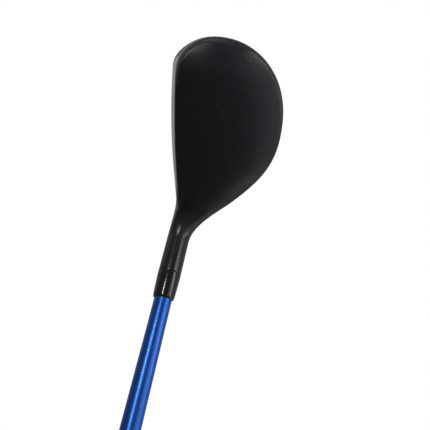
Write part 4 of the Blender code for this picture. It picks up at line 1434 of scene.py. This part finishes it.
class CLUB_OT_stage(bpy.types.Operator):
    """Set up the pale floor, the soft light and the camera"""
    bl_idname = "club.stage"
    bl_label = "Stage"

    def execute(self, context):
        stage = context.scene.club_stage
        self.build_floor(stage)
        self.build_room(stage)
        for name, setting, target, azimuth, height, distance, size in LIGHTS:
            light = self.add_light(name, getattr(stage, setting), target, azimuth, height, distance, size)
            if name in COOL_LIGHTS:
                light.color = stage.cool_light
        self.build_camera()
        context.scene.view_settings.view_transform = "Standard"
        return {"FINISHED"}

    def build_floor(self, stage):
        """Floor that stays pale under the camera and is clear from below."""
        bpy.ops.object.select_all(action="DESELECT")
        bpy.ops.mesh.primitive_plane_add(size=FLOOR_SIZE, location=(0.0, 0.0, FLOOR_Z))
        floor = bpy.context.object
        floor.name = "studio_floor"
        mat = bpy.data.materials.new("pale_floor")
        mat.use_nodes = True
        nodes, links = mat.node_tree.nodes, mat.node_tree.links
        nodes.clear()
        out = nodes.new("ShaderNodeOutputMaterial")
        white = nodes.new("ShaderNodeEmission")
        white.inputs["Color"].default_value = (*stage.floor_white, 1.0)
        matte = nodes.new("ShaderNodeBsdfDiffuse")
        matte.inputs["Color"].default_value = (*FLOOR_GREY, 1.0)
        clear = nodes.new("ShaderNodeBsdfTransparent")
        path = nodes.new("ShaderNodeLightPath")
        side = nodes.new("ShaderNodeNewGeometry")
        seen = nodes.new("ShaderNodeMixShader")
        faced = nodes.new("ShaderNodeMixShader")
        links.new(path.outputs["Is Camera Ray"], seen.inputs["Fac"])
        glow = nodes.new("ShaderNodeEmission")
        glow.inputs["Strength"].default_value = FLOOR_GLOW
        lit = nodes.new("ShaderNodeAddShader")
        links.new(matte.outputs[0], lit.inputs[0])
        links.new(glow.outputs[0], lit.inputs[1])
        links.new(lit.outputs[0], seen.inputs[1])
        links.new(white.outputs[0], seen.inputs[2])
        links.new(side.outputs["Backfacing"], faced.inputs["Fac"])
        links.new(seen.outputs[0], faced.inputs[1])
        links.new(clear.outputs[0], faced.inputs[2])
        links.new(faced.outputs[0], out.inputs["Surface"])
        floor.data.materials.append(mat)

    def build_room(self, stage):
        """Even light from all round; white where the camera looks past the floor."""
        world = bpy.data.worlds.new("studio_room")
        bpy.context.scene.world = world
        world.use_nodes = True
        nodes, links = world.node_tree.nodes, world.node_tree.links
        nodes.clear()
        out = nodes.new("ShaderNodeOutputWorld")
        room = nodes.new("ShaderNodeBackground")
        room.inputs["Color"].default_value = (1.0, 1.0, 1.0, 1.0)
        room.inputs["Strength"].default_value = stage.room_light
        seen = nodes.new("ShaderNodeBackground")
        seen.inputs["Color"].default_value = (*stage.floor_white, 1.0)
        path = nodes.new("ShaderNodeLightPath")
        mix = nodes.new("ShaderNodeMixShader")
        links.new(path.outputs["Is Camera Ray"], mix.inputs["Fac"])
        links.new(room.outputs[0], mix.inputs[1])
        links.new(seen.outputs[0], mix.inputs[2])
        links.new(mix.outputs[0], out.inputs["Surface"])

    def add_light(self, name, power, target, azimuth, height, distance, size):
        """Soft light at an angle round its target, facing it."""
        a, e = math.radians(azimuth), math.radians(height)
        way = Vector((math.cos(a) * math.cos(e), math.sin(a) * math.cos(e), math.sin(e)))
        data = bpy.data.lights.new(name, "AREA")
        data.shape = "RECTANGLE"
        data.size, data.size_y = size
        data.energy = power
        lamp = bpy.data.objects.new(name, data)
        bpy.context.scene.collection.objects.link(lamp)
        lamp.location = target + way * distance
        lamp.rotation_euler = way.to_track_quat("Z", "Y").to_euler()
        lamp.visible_camera = False
        return data

    def build_camera(self):
        """Camera at the place and angle of the photograph."""
        data = bpy.data.cameras.new("photo_camera")
        data.sensor_width = SENSOR
        data.lens = SENSOR * FOCAL / PHOTO_FRAME
        data.clip_start = CLIP_START
        camera = bpy.data.objects.new("photo_camera", data)
        bpy.context.scene.collection.objects.link(camera)
        columns = (CAMERA_RIGHT, CAMERA_UP, CAMERA_BACK, CAMERA_AT)
        camera.matrix_world = Matrix([[c[row] for c in columns] for row in range(3)] + [[0.0, 0.0, 0.0, 1.0]])
        bpy.context.scene.camera = camera


class CLUB_PT_sidebar(bpy.types.Panel):
    """Pieces and settings of the club"""
    bl_label = "Hybrid club"
    bl_idname = "CLUB_PT_sidebar"
    bl_space_type = "VIEW_3D"
    bl_region_type = "UI"
    bl_category = "Club"

    def draw(self, context):
        layout = self.layout
        for operator in OPERATORS:
            layout.operator(operator.bl_idname)
        for group in (context.scene.club_sizes, context.scene.club_finishes, context.scene.club_stage):
            box = layout.box()
            for key in group.__annotations__:
                box.prop(group, key)


GROUPS = (ClubSizes, ClubFinishes, ClubStage)
OPERATORS = (
    CLUB_OT_head_shell, CLUB_OT_crown_skin, CLUB_OT_face_insert, CLUB_OT_shaft_tube, CLUB_OT_ferrule_sleeve,
    CLUB_OT_grip_sleeve, CLUB_OT_sole_weight, CLUB_OT_inner_pieces, CLUB_OT_stage,
)


def register():
    for cls in GROUPS + OPERATORS + (CLUB_PT_sidebar,):
        bpy.utils.register_class(cls)
    bpy.types.Scene.club_sizes = PointerProperty(type=ClubSizes)
    bpy.types.Scene.club_finishes = PointerProperty(type=ClubFinishes)
    bpy.types.Scene.club_stage = PointerProperty(type=ClubStage)


def unregister():
    del bpy.types.Scene.club_sizes
    del bpy.types.Scene.club_finishes
    del bpy.types.Scene.club_stage
    for cls in reversed(GROUPS + OPERATORS + (CLUB_PT_sidebar,)):
        bpy.utils.unregister_class(cls)


def main():
    register()
    bpy.ops.club.head_shell()
    bpy.ops.club.crown_skin()
    bpy.ops.club.face_insert()
    bpy.ops.club.shaft_tube()
    bpy.ops.club.ferrule_sleeve()
    bpy.ops.club.grip_sleeve()
    bpy.ops.club.sole_weight()
    bpy.ops.club.inner_pieces()
    bpy.ops.club.stage()


if __name__ == "__main__":
    main()
